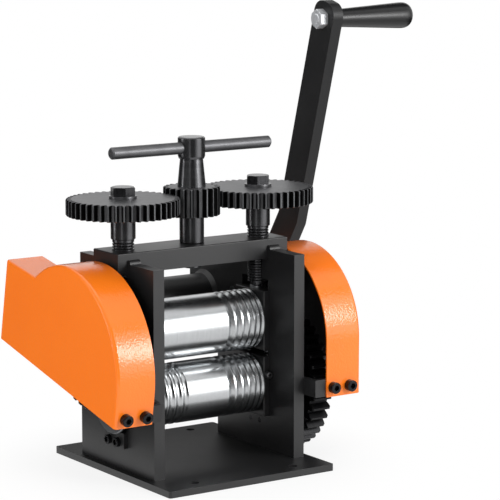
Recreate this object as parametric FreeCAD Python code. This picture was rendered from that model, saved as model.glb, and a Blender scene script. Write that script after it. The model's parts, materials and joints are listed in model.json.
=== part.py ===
"""Hand-cranked rolling mill for a jeweller's bench.

Two cheek plates stand on a base plate and carry a crossbar. Two rolls turn
in bearing blocks in the cheek windows. Two geared screws set the gap between
the rolls. A crank turns the rolls through a reduction gear train.

Millimetres. X runs along the rolls, Y to the back and Z up. The origin is the
centre of the base plate's underside.
"""
import FreeCAD
import Part
import math
import os

V = FreeCAD.Vector
X_AXIS = V(1, 0, 0)
Y_AXIS = V(0, 1, 0)
Z_AXIS = V(0, 0, 1)

# Fits
running_fit = 0.05          # radial clearance of a shaft that turns in a bush
slide_fit = 0.1             # clearance of a block that slides in a window
face_gap = 0.3              # end float between turning faces
weld_leg = 3.0

# Base plate and its bench holes
base_width = 142.0
base_depth = 162.0
base_thick = 5.0
base_corner = 2.0
bench_inset_x = 28.5
bench_inset_y = 12.0
bench_spacing_x = base_width - 2 * bench_inset_x
bench_spacing_y = base_depth - 2 * bench_inset_y
bench_hole_r = 3.3

# Cheeks
cheek_inner = 56.0          # X of each cheek's inner face
cheek_thick = 9.0
cheek_half_depth = 51.0
cheek_top = 157.0
cheek_outer = cheek_inner + cheek_thick
window_bottom = 31.0
window_top = 134.0
ear_half_height = 26.0
ear_reach = 20.4            # from the drive shaft's axis to the ear's rear edge

# Crossbar, seated in a notch in each cheek
crossbar_depth = 34.0
crossbar_height = 15.0
crossbar_overhang = 8.5
notch_depth = 7.0
crossbar_bottom = cheek_top - notch_depth
crossbar_top = crossbar_bottom + crossbar_height
crossbar_half_length = cheek_outer + crossbar_overhang

# Rolls
roll_r = 22.5
roll_half_length = 50.8
roll_edge = 0.8
journal_r = 12.0
lower_roll_z = 54.5
rest_gap = 3.5
upper_roll_z = lower_roll_z + 2 * roll_r + rest_gap
groove_start = 18.0
groove_count = 6
groove_first_width = 5.2
groove_width_step = 0.55
groove_land = 1.6
groove_slack = 0.5           # how far a groove's cutter passes the barrel
round_groove_count = 5
round_groove_width = 5.0
round_groove_pitch = 6.1
round_groove_depth = 0.9
round_groove_start = -17.2

# Bearing blocks: a flange inside the cheek and a neck in its window
block_flange_half = 19.0
block_neck_half = 17.0
block_below = 22.0          # from the upper roll's axis down to its block's bottom
block_above = 23.0
lower_block_above = 22.0
block_edge = 0.6
bush_r = 14.0
shaft_bush_r = 13.0

# Springs that lift the upper blocks
spring_pocket_r = 4.0
spring_pocket_depth = 8.0
spring_mean_r = 3.0
spring_wire_r = 0.6
spring_turns = 7
spring_y = 12.0

# Keepers and small screws at the lower blocks
keeper_thick = 3.0
keeper_half_width = 14.0
keeper_height = 11.5
keeper_overlap = 2.0
keeper_screw_y = 6.0
keeper_screw_drop = 5.6
keeper_screw_r = 2.0
keeper_head_r = 3.5
keeper_head_height = 3.0
block_screw_up = 8.5
block_screw_r = 1.5
block_screw_head_r = 2.4
block_screw_head = 5.0
block_screw_reach = 6.0
block_screw_hex = 2.5

# Adjusting screws
screw_r = 7.93
screw_bore_r = 8.0
screw_pitch = 2.0
thread_depth = 0.9
thread_top = 172.7
collar_r = 9.0
nose_r = 5.5
nose_length = 3.0
pad_r = 6.0
pad_thick = 3.0
pad_seat = 1.0
spigot_r = 8.0
spigot_flat = 6.5
neck_slot_clearance = 0.8

# Adjusting gears and the pinion between them
adjust_module = 1.75
adjust_teeth = 45
pinion_teeth = 22
adjust_gear_bottom = 190.2
adjust_gear_face = 12.0
adjust_pinion_drop = 4.7      # the pinion starts this far below the gears
adjust_pinion_bottom = adjust_gear_bottom - adjust_pinion_drop
adjust_pinion_face = 21.0
gear_chamfer = 0.8
screw_x = adjust_module * (adjust_teeth + pinion_teeth) / 2

# Gear bolts on the adjusting screws
bolt_r = 5.0
bolt_head_flats = 16.0
bolt_head_height = 6.4
bolt_length = 20.0
gear_washer_r = 10.0
gear_washer_thick = 2.0
right_bolt_turn = -6.0        # how far each head was left turned, in degrees
left_bolt_turn = 12.0

# Adjuster spindle and its bar
post_r = 9.0
post_spigot_r = 6.5
spindle_float = 0.1
spindle_neck_r = 10.4
spindle_waist_r = 8.4
spindle_head_r = 10.0
spindle_neck_length = 20.5
spindle_head_length = 16.0
spindle_chamfer = 0.8
adjust_bar_r = 4.4
adjust_bar_half = 68.5
bar_end_chamfer = 1.0

# Drive train
drive_module = 2.5
drive_pinion_teeth = 16
idler_teeth = 16
roll_gear_teeth = 40
drive_gear_start = 74.0
drive_gear_face = 16.0
backlash = 0.25
upper_gear_addendum = 2.0   # tips turned down a little to clear the cover
gear_seat_r = 11.0
key_width = 6.0
key_height = 6.0
circlip_thick = 1.2
circlip_depth = 0.9
circlip_rim = 2.5
circlip_gap = 3.0
shaft_lip = 1.0             # what a shaft carries on past its circlip
journal_stub = 1.0          # what a journal carries on past the cheek
hub_gap = 0.5

# Drive shaft at the back
shaft_y = 69.8
shaft_z = 110.0
shaft_r = 10.0
tube_r = 17.0
tube_bore_r = 13.0
pinion_hub_r = 13.0
lower_gear_hub_r = 20.0
upper_gear_hub_r = 18.0
set_screw_r = 2.5
set_screw_reach = 1.0

# Collar on the lower roll's left end
collar_outer_r = 23.8
collar_rim_thick = 2.5
collar_hub_r = 15.0

# Idler stud
stud_r = 6.0
stud_thread_r = 5.0
stud_collar_r = 9.0
stud_head_r = 9.0
stud_head_height = 5.0
stud_hex_flats = 6.0
idler_bush_r = 9.0

# Crank
crank_length = 222.5
crank_tilt = 16.25
crank_width = 25.4
crank_thick = 9.0
crank_offset = 11.0
crank_start = 112.0
crank_bend_low = 19.5
crank_bend_high = 59.5
crank_foot = 18.0
crank_tip = 13.2
crank_corner = 10.0
crank_square = 14.0
crank_bolt_length = 25.0
crank_washer_r = 11.0
crank_washer_thick = 2.0

# Crank grip and its stud
grip_stud_r = 4.0
grip_nut_flats = 13.0
grip_nut_height = 6.5
grip_stud_end = 0.6
grip_shoulder_r = 6.0
grip_shoulder = 1.5
grip_small_r = 6.7
grip_large_r = 10.2
grip_length = 70.5
grip_dome = 5.0
grip_knob_r = 5.5
grip_knob_length = 4.0
grip_bore_length = 58.0

# Covers: one pressing in a left and a right hand
cover_sheet = 1.2
cover_depth = 30.5
cover_edge = 2.5
left_arc_y = 1.5              # centre and radius of the left cover's round top
left_arc_z = 84.0
left_arc_r = 73.4
left_front_lean = 10.0
right_arc_y = -1.7
right_arc_z = 92.4
right_arc_r = 65.0
right_front_lean = 0.0
cover_bottom = 51.6
cover_rear_y = 98.3
cover_rear_z = 89.7
cover_rear_height = 61.6
cover_rear_tilt = 11.1
cover_top_slope = 9.85
left_cover_start = 77.0
right_cover_start = 74.5
shaft_hole_r = 12.0

# Cover brackets and screws
bracket_thick = 3.0
bracket_height = 13.0
bracket_rear_height = 11.0
bracket_leg = 30.0
bracket_pad = 14.0
bracket_rear_leg = 14.0
bracket_rise = 0.5
left_bracket_spacer = 3.5
cover_screw_r = 2.5
cover_screw_head_r = 4.25
cover_screw_head = 5.0
left_screw_inset = 6.5
left_screw_pitch = 16.0
right_screw_inset = 5.5
right_screw_pitch = 14.8
cover_screw_hex = 4.0

# Countersunk screws from below into the cheeks
base_screw_r = 3.0
base_screw_head_r = 6.0
base_screw_length = 18.0
base_screw_spacing = 38.0

parts = {}


def box(x0, x1, y0, y1, z0, z1):
    return Part.makeBox(x1 - x0, y1 - y0, z1 - z0, V(x0, y0, z0))


def rod_x(r, x0, x1, y=0.0, z=0.0):
    return Part.makeCylinder(r, x1 - x0, V(x0, y, z), X_AXIS)


def rod_y(r, y0, y1, x=0.0, z=0.0):
    return Part.makeCylinder(r, y1 - y0, V(x, y0, z), Y_AXIS)


def rod_z(r, z0, z1, x=0.0, y=0.0):
    return Part.makeCylinder(r, z1 - z0, V(x, y, z0), Z_AXIS)


def mirror_x(shape):
    return shape.mirror(V(0, 0, 0), X_AXIS)


def both_sides(shape):
    return Part.makeCompound([shape, mirror_x(shape)])


def turned_x(profile, y=0.0, z=0.0):
    """Solid of revolution about the X line through (y, z); profile holds (x, radius)."""
    points = [V(x, y, z + radius) for x, radius in profile]
    points += [V(profile[-1][0], y, z), V(profile[0][0], y, z), points[0]]
    face = Part.Face(Part.makePolygon(points))
    return face.revolve(V(0, y, z), X_AXIS, 360)


def turned_z(profile, x=0.0, y=0.0):
    """Solid of revolution about the Z line through (x, y); profile holds (radius, z)."""
    points = [V(x + radius, y, z) for radius, z in profile]
    points += [V(x, y, profile[-1][1]), V(x, y, profile[0][1]), points[0]]
    face = Part.Face(Part.makePolygon(points))
    return face.revolve(V(x, y, 0), Z_AXIS, 360)


def prism_x(outline, x0, x1):
    """Extrude a list of (y, z) points from x0 to x1."""
    points = [V(x0, y, z) for y, z in outline]
    face = Part.Face(Part.makePolygon(points + points[:1]))
    return face.extrude(V(x1 - x0, 0, 0))


def hexagon(flats, height):
    """Hexagonal prism on the XY plane, flats across given, centred on Z."""
    corner = flats / math.sqrt(3)
    angles = [math.radians(60 * i) for i in range(7)]
    ring = [V(corner * math.cos(a), corner * math.sin(a), 0) for a in angles]
    prism = Part.Face(Part.makePolygon(ring)).extrude(V(0, 0, height))
    return prism


def hex_head(flats, height):
    """Bolt head with its top corners turned off at 30 degrees."""
    corner = flats / math.sqrt(3)
    drop = (corner - flats / 2) * math.tan(math.radians(30)) * 1.1
    turned = turned_z([(corner, 0), (corner, height - drop), (flats / 2 - 0.2, height)])
    return hexagon(flats, height).common(turned)


def to_x(shape, x, y, z):
    """Turn a shape built along Z so that it lies along +X, then move it to (x, y, z)."""
    turned = shape.copy()
    turned.Placement = FreeCAD.Placement(V(x, y, z), FreeCAD.Rotation(V(1, 1, 1), 120))
    return turned


def to_minus_x(shape, x, y, z):
    """Turn a shape built along Z so that it points along -X, then move it to (x, y, z)."""
    turned = shape.copy()
    turned.Placement = FreeCAD.Placement(V(x, y, z), FreeCAD.Rotation(Y_AXIS, -90))
    return turned


def cap_screw(r, length, head_r, head_height, hex_flats):
    """Socket cap screw along Z: shank below z = 0, head above with a hexagon socket."""
    head = turned_z([(head_r, 0), (head_r, head_height - 0.5), (head_r - 0.5, head_height)])
    shank = rod_z(r, -length, 0)
    socket = hexagon(hex_flats, head_height)
    socket.translate(V(0, 0, head_height * 0.45))
    return head.fuse(shank).cut(socket)


def involute(angle):
    return math.tan(angle) - angle


def gear_blank(teeth, module, face, addendum, dedendum, play, first_tooth):
    """Involute spur gear on the XY plane; first_tooth is the angle of one tooth's centre."""
    pressure = math.radians(20)
    pitch_r = teeth * module / 2
    base_r = pitch_r * math.cos(pressure)
    tip_r = pitch_r + addendum
    root_r = pitch_r - dedendum
    half_tooth = (math.pi * module / 2 - play) / (2 * pitch_r)
    start_r = max(base_r, root_r)
    flank_points = 5

    def half_angle(r):
        local = math.acos(min(1.0, base_r / r))
        return half_tooth + involute(pressure) - involute(local)

    def polar(r, angle):
        return V(r * math.cos(angle), r * math.sin(angle), 0)

    step = 2 * math.pi / teeth
    radii = [start_r + (tip_r - start_r) * i / (flank_points - 1) for i in range(flank_points)]
    edges = []
    for tooth in range(teeth):
        centre = first_tooth + tooth * step
        rising = [polar(r, centre - half_angle(r)) for r in radii]
        falling = [polar(r, centre + half_angle(r)) for r in reversed(radii)]
        foot_a = polar(root_r, centre - half_angle(start_r))
        foot_b = polar(root_r, centre + half_angle(start_r))
        next_foot = polar(root_r, centre + step - half_angle(start_r))
        if start_r > root_r:
            edges.append(Part.LineSegment(foot_a, rising[0]).toShape())
        for chain in (rising, falling):
            curve = Part.BSplineCurve()
            curve.interpolate(chain)
            if chain is falling:
                tip = Part.Arc(rising[-1], polar(tip_r, centre), falling[0])
                edges.append(tip.toShape())
            edges.append(curve.toShape())
        if start_r > root_r:
            edges.append(Part.LineSegment(falling[-1], foot_b).toShape())
        root = Part.Arc(foot_b, polar(root_r, centre + step / 2), next_foot)
        edges.append(root.toShape())
    blank = Part.Face(Part.Wire(edges)).extrude(V(0, 0, face))
    bevel = turned_z([
        (tip_r - gear_chamfer, 0), (tip_r, gear_chamfer),
        (tip_r, face - gear_chamfer), (tip_r - gear_chamfer, face)])
    return blank.common(bevel)


def meshed_angle(teeth_a, first_a, centre_a, teeth_b, centre_b):
    """Angle of gear B's first tooth that puts it in mesh with gear A."""
    line = math.atan2(centre_b[1] - centre_a[1], centre_b[0] - centre_a[0])
    phase_a = (line - first_a) * teeth_a / (2 * math.pi)
    return line + math.pi - (0.5 - phase_a) * 2 * math.pi / teeth_b


def meeting_point(p, d, q, e):
    """Point where the line p + s d meets the line q + t e, in a plane."""
    cross = d[0] * e[1] - d[1] * e[0]
    s = ((q[0] - p[0]) * e[1] - (q[1] - p[1]) * e[0]) / cross
    return (p[0] + s * d[0], p[1] + s * d[1])


def circle_meeting(centre, r, p, d):
    """First point along p + s d (d a unit vector) on a circle."""
    fx, fy = p[0] - centre[0], p[1] - centre[1]
    b = fx * d[0] + fy * d[1]
    s = -b - math.sqrt(b * b - (fx * fx + fy * fy - r * r))
    return (p[0] + s * d[0], p[1] + s * d[1])


# ---------------------------------------------------------------- gear centres
shaft_centre = (shaft_y, shaft_z)
lower_centre = (0.0, lower_roll_z)
upper_centre = (0.0, upper_roll_z)


def idler_position():
    """Centre of the idler: in mesh with the right pinion and the lower roll's gear."""
    to_shaft = drive_module * (drive_pinion_teeth + idler_teeth) / 2
    to_roll = drive_module * (idler_teeth + roll_gear_teeth) / 2
    dy = lower_centre[0] - shaft_y
    dz = lower_centre[1] - shaft_z
    span = math.hypot(dy, dz)
    along = (to_shaft ** 2 - to_roll ** 2 + span ** 2) / (2 * span)
    across = math.sqrt(to_shaft ** 2 - along ** 2)
    unit_y, unit_z = dy / span, dz / span
    return (shaft_y + along * unit_y + across * unit_z,
            shaft_z + along * unit_z - across * unit_y)


idler_centre = idler_position()
if idler_centre[1] < shaft_z:
    raise ValueError("the idler belongs above the line from shaft to roll")

pinion_first = math.radians(90)
idler_first = meshed_angle(drive_pinion_teeth, pinion_first, shaft_centre,
                           idler_teeth, idler_centre)
lower_gear_first = meshed_angle(idler_teeth, idler_first, idler_centre,
                                roll_gear_teeth, lower_centre)
upper_gear_first = meshed_angle(drive_pinion_teeth, pinion_first, shaft_centre,
                                roll_gear_teeth, upper_centre)

# ---------------------------------------------------------------- frame heights
block_inner = roll_half_length + face_gap
block_shoulder = cheek_inner - slide_fit
lower_block_top = lower_roll_z + lower_block_above
upper_block_bottom = upper_roll_z - block_below
upper_block_top = upper_roll_z + block_above
pad_top = upper_block_top - pad_seat + pad_thick
adjust_gear_top = adjust_gear_bottom + adjust_gear_face
adjust_pinion_top = adjust_pinion_bottom + adjust_pinion_face
spindle_head_bottom = adjust_pinion_top + spindle_neck_length
spindle_head_top = spindle_head_bottom + spindle_head_length
adjust_bar_z = spindle_head_bottom + spindle_head_length / 2
drive_gear_end = drive_gear_start + drive_gear_face


# ---------------------------------------------------------------- frame
def base_plate():
    plate = box(-base_width / 2, base_width / 2, -base_depth / 2, base_depth / 2,
                0, base_thick)
    upright = [e for e in plate.Edges if abs(e.tangentAt(e.FirstParameter).z) > 0.9]
    plate = plate.makeFillet(base_corner, upright)
    for x in (-bench_spacing_x / 2, bench_spacing_x / 2):
        for y in (-bench_spacing_y / 2, bench_spacing_y / 2):
            plate = plate.cut(rod_z(bench_hole_r, -1, base_thick + 1, x, y))
    for x, y in base_screw_places():
        plate = plate.cut(countersunk_body(x, y, base_thick))
    return plate


def base_screw_places():
    middle = cheek_inner + cheek_thick / 2
    rows = [base_screw_spacing * i for i in (-1, 0, 1)]
    return [(side * middle, y) for side in (-1, 1) for y in rows]


def countersunk_body(x, y, top):
    """Countersunk screw from the underside up to the height top."""
    cone = base_screw_head_r - base_screw_r
    profile = [(base_screw_head_r, 0), (base_screw_r, cone), (base_screw_r, top)]
    return turned_z(profile, x, y)


def base_screws():
    screws = []
    for x, y in base_screw_places():
        body = countersunk_body(x, y, base_screw_length)
        socket = hexagon(cover_screw_hex, base_screw_head_r - base_screw_r)
        socket.translate(V(x, y, 0))
        screws.append(body.cut(socket))
    return Part.makeCompound(screws)


def right_cheek():
    ear_top = shaft_z + ear_half_height
    ear_bottom = shaft_z - ear_half_height
    ear_end = shaft_y + ear_reach
    outline = [
        (-cheek_half_depth, base_thick), (cheek_half_depth, base_thick),
        (cheek_half_depth, ear_bottom), (ear_end, ear_bottom),
        (ear_end, ear_top), (cheek_half_depth, ear_top),
        (cheek_half_depth, cheek_top), (-cheek_half_depth, cheek_top)]
    plate = prism_x(outline, cheek_inner, cheek_outer)
    window_half = block_neck_half + slide_fit
    slot_half = screw_bore_r + neck_slot_clearance
    notch_half = crossbar_depth / 2
    cuts = [
        box(cheek_inner - 1, cheek_outer + 1, -window_half, window_half,
            window_bottom, window_top),
        box(cheek_inner - 1, cheek_outer + 1, -slot_half, slot_half,
            window_top - 1, cheek_top + 1),
        box(cheek_inner - 1, cheek_outer + 1, -notch_half, notch_half,
            crossbar_bottom, cheek_top + 1),
        rod_x(shaft_bush_r, cheek_inner - 1, cheek_outer + 1, shaft_y, shaft_z)]
    for y in (-keeper_screw_y, keeper_screw_y):
        cuts.append(rod_x(keeper_screw_r, cheek_inner - 1, cheek_outer + 1,
                          y, window_bottom - keeper_screw_drop))
    for x, y in base_screw_places():
        if x > 0:
            cuts.append(rod_z(base_screw_r, 0, base_screw_length, x, y))
    return plate.cut(cuts)


def drilled_right_cheek():
    """The right cheek alone has the tapped hole for the idler stud."""
    hole = rod_x(stud_thread_r, cheek_inner - 1, cheek_outer + 1, *idler_centre)
    return right_cheek().cut(hole)


def crossbar():
    bar = box(-crossbar_half_length, crossbar_half_length,
              -crossbar_depth / 2, crossbar_depth / 2, crossbar_bottom, crossbar_top)
    bar = bar.makeFillet(0.8, [e for e in bar.Edges if e.BoundBox.ZMin > crossbar_top - 0.1])
    bores = [rod_z(screw_bore_r, crossbar_bottom - 1, crossbar_top + 1, side * screw_x)
             for side in (-1, 1)]
    bores.append(rod_z(post_spigot_r + running_fit, crossbar_bottom - 1, crossbar_top + 1))
    return bar.cut(bores)


def shaft_tube():
    outer = rod_x(tube_r, -cheek_inner, cheek_inner, shaft_y, shaft_z)
    return outer.cut(rod_x(tube_bore_r, -cheek_inner - 1, cheek_inner + 1, shaft_y, shaft_z))


def quarter_bead(start, along, length, angle_from, r):
    """Quarter-round weld bead: along is 'x' or 'y', angle_from its first radius."""
    bead = Part.makeCylinder(r, length, V(0, 0, 0), Z_AXIS, 90)
    lay = FreeCAD.Rotation(V(1, 1, 1), 120 if along == "x" else 240)
    turn = FreeCAD.Rotation(Z_AXIS, angle_from)
    bead.Placement = FreeCAD.Placement(V(*start), lay.multiply(turn))
    return bead


def frame_welds():
    half = crossbar_depth / 2
    beads = []
    # Across each cheek's top, before and behind the crossbar.
    beads.append(quarter_bead((cheek_inner, half, cheek_top), "x", cheek_thick, 0, weld_leg))
    beads.append(quarter_bead((cheek_inner, -half, cheek_top), "x", cheek_thick, 90, weld_leg))
    # Under the crossbar's overhang, against the cheek's outer face, each side of the slot.
    slot_half = screw_bore_r + neck_slot_clearance
    for y in (-half, slot_half):
        beads.append(quarter_bead((cheek_outer, y, crossbar_bottom), "y",
                                  half - slot_half, 90, weld_leg))
    # Round the shaft tube's end, against the ear.
    ring = turned_x([(cheek_inner - weld_leg, tube_r), (cheek_inner, tube_r + weld_leg)],
                    shaft_y, shaft_z)
    beads.append(ring.cut(rod_x(tube_r, 0, cheek_inner + 1, shaft_y, shaft_z)))
    return Part.makeCompound(beads + [mirror_x(b) for b in beads])


def shaft_bushes():
    ring = rod_x(shaft_bush_r, cheek_inner, cheek_outer, shaft_y, shaft_z)
    bore = rod_x(shaft_r + running_fit, cheek_inner - 1, cheek_outer + 1, shaft_y, shaft_z)
    return both_sides(ring.cut(bore))


# ---------------------------------------------------------------- bearing blocks
def right_block(bottom, top, roll_z, bore_r):
    """Flanged block in the right cheek's window, bored for its bush."""
    flange = box(block_inner, block_shoulder, -block_flange_half, block_flange_half,
                 bottom, top)
    flange = flange.makeChamfer(block_edge, [e for e in flange.Edges
                                             if e.BoundBox.XMax < block_inner + 0.1])
    neck = box(block_shoulder, cheek_outer, -block_neck_half, block_neck_half, bottom, top)
    body = flange.fuse(neck)
    return body.cut(rod_x(bore_r, block_inner - 1, cheek_outer + 1, 0, roll_z))


def spring_places():
    middle = (block_shoulder + cheek_outer) / 2
    return [(middle, y) for y in (-spring_y, spring_y)]


def right_lower_block():
    body = right_block(window_bottom, lower_block_top, lower_roll_z, bush_r)
    pocket_bottom = lower_block_top - spring_pocket_depth
    for x, y in spring_places():
        body = body.cut(rod_z(spring_pocket_r, pocket_bottom, lower_block_top + 1, x, y))
    x, z = block_screw_place()
    hole = rod_y(block_screw_r, -block_flange_half - 1,
                 -block_flange_half + block_screw_reach, x, z)
    return body.cut(hole)


def block_screw_place():
    return ((roll_half_length + cheek_inner) / 2, lower_roll_z + block_screw_up)


def right_upper_block():
    body = right_block(upper_block_bottom, upper_block_top, upper_roll_z,
                       bush_r + running_fit)
    pocket_top = upper_block_bottom + spring_pocket_depth
    for x, y in spring_places():
        body = body.cut(rod_z(spring_pocket_r, upper_block_bottom - 1, pocket_top, x, y))
    return body.cut(rod_z(pad_r, upper_block_top - pad_seat, upper_block_top + 1, screw_x))


def roll_bushes(roll_z):
    ring = rod_x(bush_r, block_inner, cheek_outer, 0, roll_z)
    bore = rod_x(journal_r + running_fit, block_inner - 1, cheek_outer + 1, 0, roll_z)
    return both_sides(ring.cut(bore))


def thrust_pads():
    bottom = upper_block_top - pad_seat
    pad = turned_z([(pad_r, bottom), (pad_r, pad_top - 0.4), (pad_r - 0.4, pad_top)], screw_x)
    return both_sides(pad)


def lift_springs():
    """Four coil springs standing in the pockets of the lower and upper blocks."""
    bottom = lower_block_top - spring_pocket_depth + spring_wire_r
    top = upper_block_bottom + spring_pocket_depth - spring_wire_r
    height = top - bottom
    path = Part.makeHelix(height / spring_turns, height, spring_mean_r)
    section = Part.Wire(Part.makeCircle(spring_wire_r, V(spring_mean_r, 0, 0), Y_AXIS))
    sweep = Part.Wire(path.Edges).makePipeShell([section], True, True)
    springs = []
    for x, y in spring_places():
        for side in (-1, 1):
            coil = sweep.copy()
            coil.translate(V(side * x, y, bottom))
            springs.append(coil)
    return Part.makeCompound(springs)


def lower_keepers():
    """Plates on the cheeks' outer faces that hold the lower blocks in."""
    top = window_bottom + keeper_overlap
    plate = box(cheek_outer, cheek_outer + keeper_thick, -keeper_half_width,
                keeper_half_width, top - keeper_height, top)
    for y in (-keeper_screw_y, keeper_screw_y):
        plate = plate.cut(rod_x(keeper_screw_r, cheek_outer - 1,
                                cheek_outer + keeper_thick + 1,
                                y, window_bottom - keeper_screw_drop))
    return both_sides(plate)


def keeper_screws():
    length = cheek_thick + keeper_thick
    screws = []
    for y in (-keeper_screw_y, keeper_screw_y):
        screw = cap_screw(keeper_screw_r, length, keeper_head_r, keeper_head_height,
                          cover_screw_hex)
        screws.append(to_x(screw, cheek_outer + keeper_thick, y,
                           window_bottom - keeper_screw_drop))
    return Part.makeCompound(screws + [mirror_x(s) for s in screws])


def lower_block_screws():
    """Lock screws in the front faces of the lower blocks."""
    x, z = block_screw_place()
    screw = cap_screw(block_screw_r, block_screw_reach, block_screw_head_r,
                      block_screw_head, block_screw_hex)
    screw.Placement = FreeCAD.Placement(V(x, -block_flange_half, z),
                                        FreeCAD.Rotation(X_AXIS, 90))
    return both_sides(screw)


# ---------------------------------------------------------------- rolls
def wire_grooves(z):
    """V grooves, cut as double cones, growing narrower to the right."""
    cutters = []
    x = groove_start
    for i in range(groove_count):
        width = groove_first_width - i * groove_width_step
        depth = width / 2
        middle = x + width / 2
        slack = groove_slack
        ring = turned_x([
            (middle - depth - slack, roll_r + slack), (middle, roll_r - depth),
            (middle + depth + slack, roll_r + slack)], 0, z)
        shell = rod_x(roll_r + slack, middle - depth - slack, middle + depth + slack, 0, z)
        cutters.append(shell.cut(ring))
        x += width + groove_land
    return cutters


def round_grooves(z):
    """Half-round grooves: rings cut with a circle of large radius."""
    cutters = []
    half = round_groove_width / 2
    section_r = (half ** 2 + round_groove_depth ** 2) / (2 * round_groove_depth)
    for i in range(round_groove_count):
        middle = round_groove_start - half - i * round_groove_pitch
        ring = Part.makeTorus(roll_r + section_r - round_groove_depth, section_r,
                              V(middle, 0, z), X_AXIS)
        cutters.append(ring)
    return cutters


def roll_body(left_end, right_end, z):
    """Barrel with a journal each side, stepped down outside the cheeks to the seats."""
    half = roll_half_length
    seat_r = gear_seat_r
    return turned_x([
        (-left_end, seat_r - roll_edge), (-left_end + roll_edge, seat_r),
        (-journal_end, seat_r), (-journal_end, journal_r),
        (-half, journal_r), (-half, roll_r - roll_edge), (-half + roll_edge, roll_r),
        (half - roll_edge, roll_r), (half, roll_r - roll_edge), (half, journal_r),
        (journal_end, journal_r), (journal_end, seat_r),
        (right_end - roll_edge, seat_r), (right_end, seat_r - roll_edge)], 0, z)


def circlip_cut(x0, r, y, z):
    """Ring groove for a circlip, from x0 outwards."""
    x1 = x0 + circlip_thick
    ring = rod_x(r + 1, x0, x1, y, z)
    return ring.cut(rod_x(r - circlip_depth, x0, x1, y, z))


def circlip(x0, r, y, z):
    """Split retaining ring seated in its groove."""
    x1 = x0 + circlip_thick
    ring = rod_x(r + circlip_rim, x0, x1, y, z)
    ring = ring.cut(rod_x(r - circlip_depth, x0 - 1, x1 + 1, y, z))
    return ring.cut(box(x0 - 1, x1 + 1, y - circlip_gap / 2, y + circlip_gap / 2,
                        z + r / 2, z + r + circlip_rim + 1))


def key_block(x0, x1, r, y, z):
    """Flat key on top of a shaft of radius r."""
    half = key_width / 2
    return box(x0, x1, y - half, y + half, z + r - key_height / 2, z + r + key_height / 2)


roll_gear_end = drive_gear_end + circlip_thick + shaft_lip
collar_hub_start = cheek_outer + face_gap
collar_rim_start = cheek_outer + keeper_thick + face_gap
collar_face = collar_rim_start + collar_rim_thick
collar_end = collar_face + circlip_thick + shaft_lip
journal_end = cheek_outer + journal_stub
upper_clip_x = journal_end + face_gap
upper_right_end = upper_clip_x + circlip_thick + shaft_lip


def lower_roll():
    roll = roll_body(collar_end, roll_gear_end, lower_roll_z)
    roll = roll.cut(wire_grooves(lower_roll_z) + round_grooves(lower_roll_z))
    return roll.cut([
        circlip_cut(-collar_face - circlip_thick, gear_seat_r, 0, lower_roll_z),
        circlip_cut(drive_gear_end, gear_seat_r, 0, lower_roll_z), lower_roll_key()])


def lower_roll_key():
    return key_block(drive_gear_start, drive_gear_end, gear_seat_r, 0, lower_roll_z)


def upper_roll():
    roll = roll_body(roll_gear_end, upper_right_end, upper_roll_z)
    roll = roll.cut(wire_grooves(upper_roll_z))
    return roll.cut([
        circlip_cut(-drive_gear_end - circlip_thick, gear_seat_r, 0, upper_roll_z),
        circlip_cut(upper_clip_x, gear_seat_r, 0, upper_roll_z), upper_roll_key()])


def upper_roll_key():
    return key_block(-drive_gear_end, -drive_gear_start, gear_seat_r, 0, upper_roll_z)


def lower_roll_circlips():
    return Part.makeCompound([
        circlip(-collar_face - circlip_thick, gear_seat_r, 0, lower_roll_z),
        circlip(drive_gear_end, gear_seat_r, 0, lower_roll_z)])


def upper_roll_circlips():
    return Part.makeCompound([
        circlip(-drive_gear_end - circlip_thick, gear_seat_r, 0, upper_roll_z),
        circlip(upper_clip_x, gear_seat_r, 0, upper_roll_z)])


def lower_roll_collar():
    """Stepped collar that stands clear of the keeper below it."""
    profile = [
        (-collar_face, collar_outer_r - roll_edge), (-collar_face + roll_edge, collar_outer_r),
        (-collar_rim_start, collar_outer_r), (-collar_rim_start, collar_hub_r),
        (-collar_hub_start, collar_hub_r)]
    collar = turned_x(profile, 0, lower_roll_z)
    bore = rod_x(gear_seat_r, -collar_face - 1, -journal_end, 0, lower_roll_z)
    counterbore = rod_x(journal_r, -journal_end, -collar_hub_start + 1, 0, lower_roll_z)
    return collar.cut([bore, counterbore])


# ---------------------------------------------------------------- gears
gear_hub_start = journal_end + hub_gap


def drive_gear(teeth, first, addendum=drive_module):
    return gear_blank(teeth, drive_module, drive_gear_face, addendum,
                      1.25 * drive_module, backlash, first)


def lower_roll_gear():
    gear = to_x(drive_gear(roll_gear_teeth, lower_gear_first), drive_gear_start, 0, lower_roll_z)
    hub = rod_x(lower_gear_hub_r, gear_hub_start, drive_gear_start, 0, lower_roll_z)
    gear = gear.fuse(hub)
    gear = gear.cut(rod_x(gear_seat_r, cheek_outer, drive_gear_end + 1, 0, lower_roll_z))
    return gear.cut(lower_roll_key())


def upper_roll_gear():
    blank = drive_gear(roll_gear_teeth, upper_gear_first, upper_gear_addendum)
    gear = to_x(blank, -drive_gear_end, 0, upper_roll_z)
    hub = rod_x(upper_gear_hub_r, -drive_gear_start, -gear_hub_start, 0, upper_roll_z)
    gear = gear.fuse(hub)
    gear = gear.cut(rod_x(gear_seat_r, -drive_gear_end - 1, -cheek_outer, 0, upper_roll_z))
    return gear.cut(upper_roll_key())


def idler_gear():
    gear = to_x(drive_gear(idler_teeth, idler_first), drive_gear_start, *idler_centre)
    return gear.cut(rod_x(idler_bush_r, drive_gear_start - 1, drive_gear_end + 1,
                          *idler_centre))


def idler_bush():
    ring = rod_x(idler_bush_r, drive_gear_start, drive_gear_end, *idler_centre)
    return ring.cut(rod_x(stud_r + running_fit, drive_gear_start - 1, drive_gear_end + 1,
                          *idler_centre))


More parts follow.
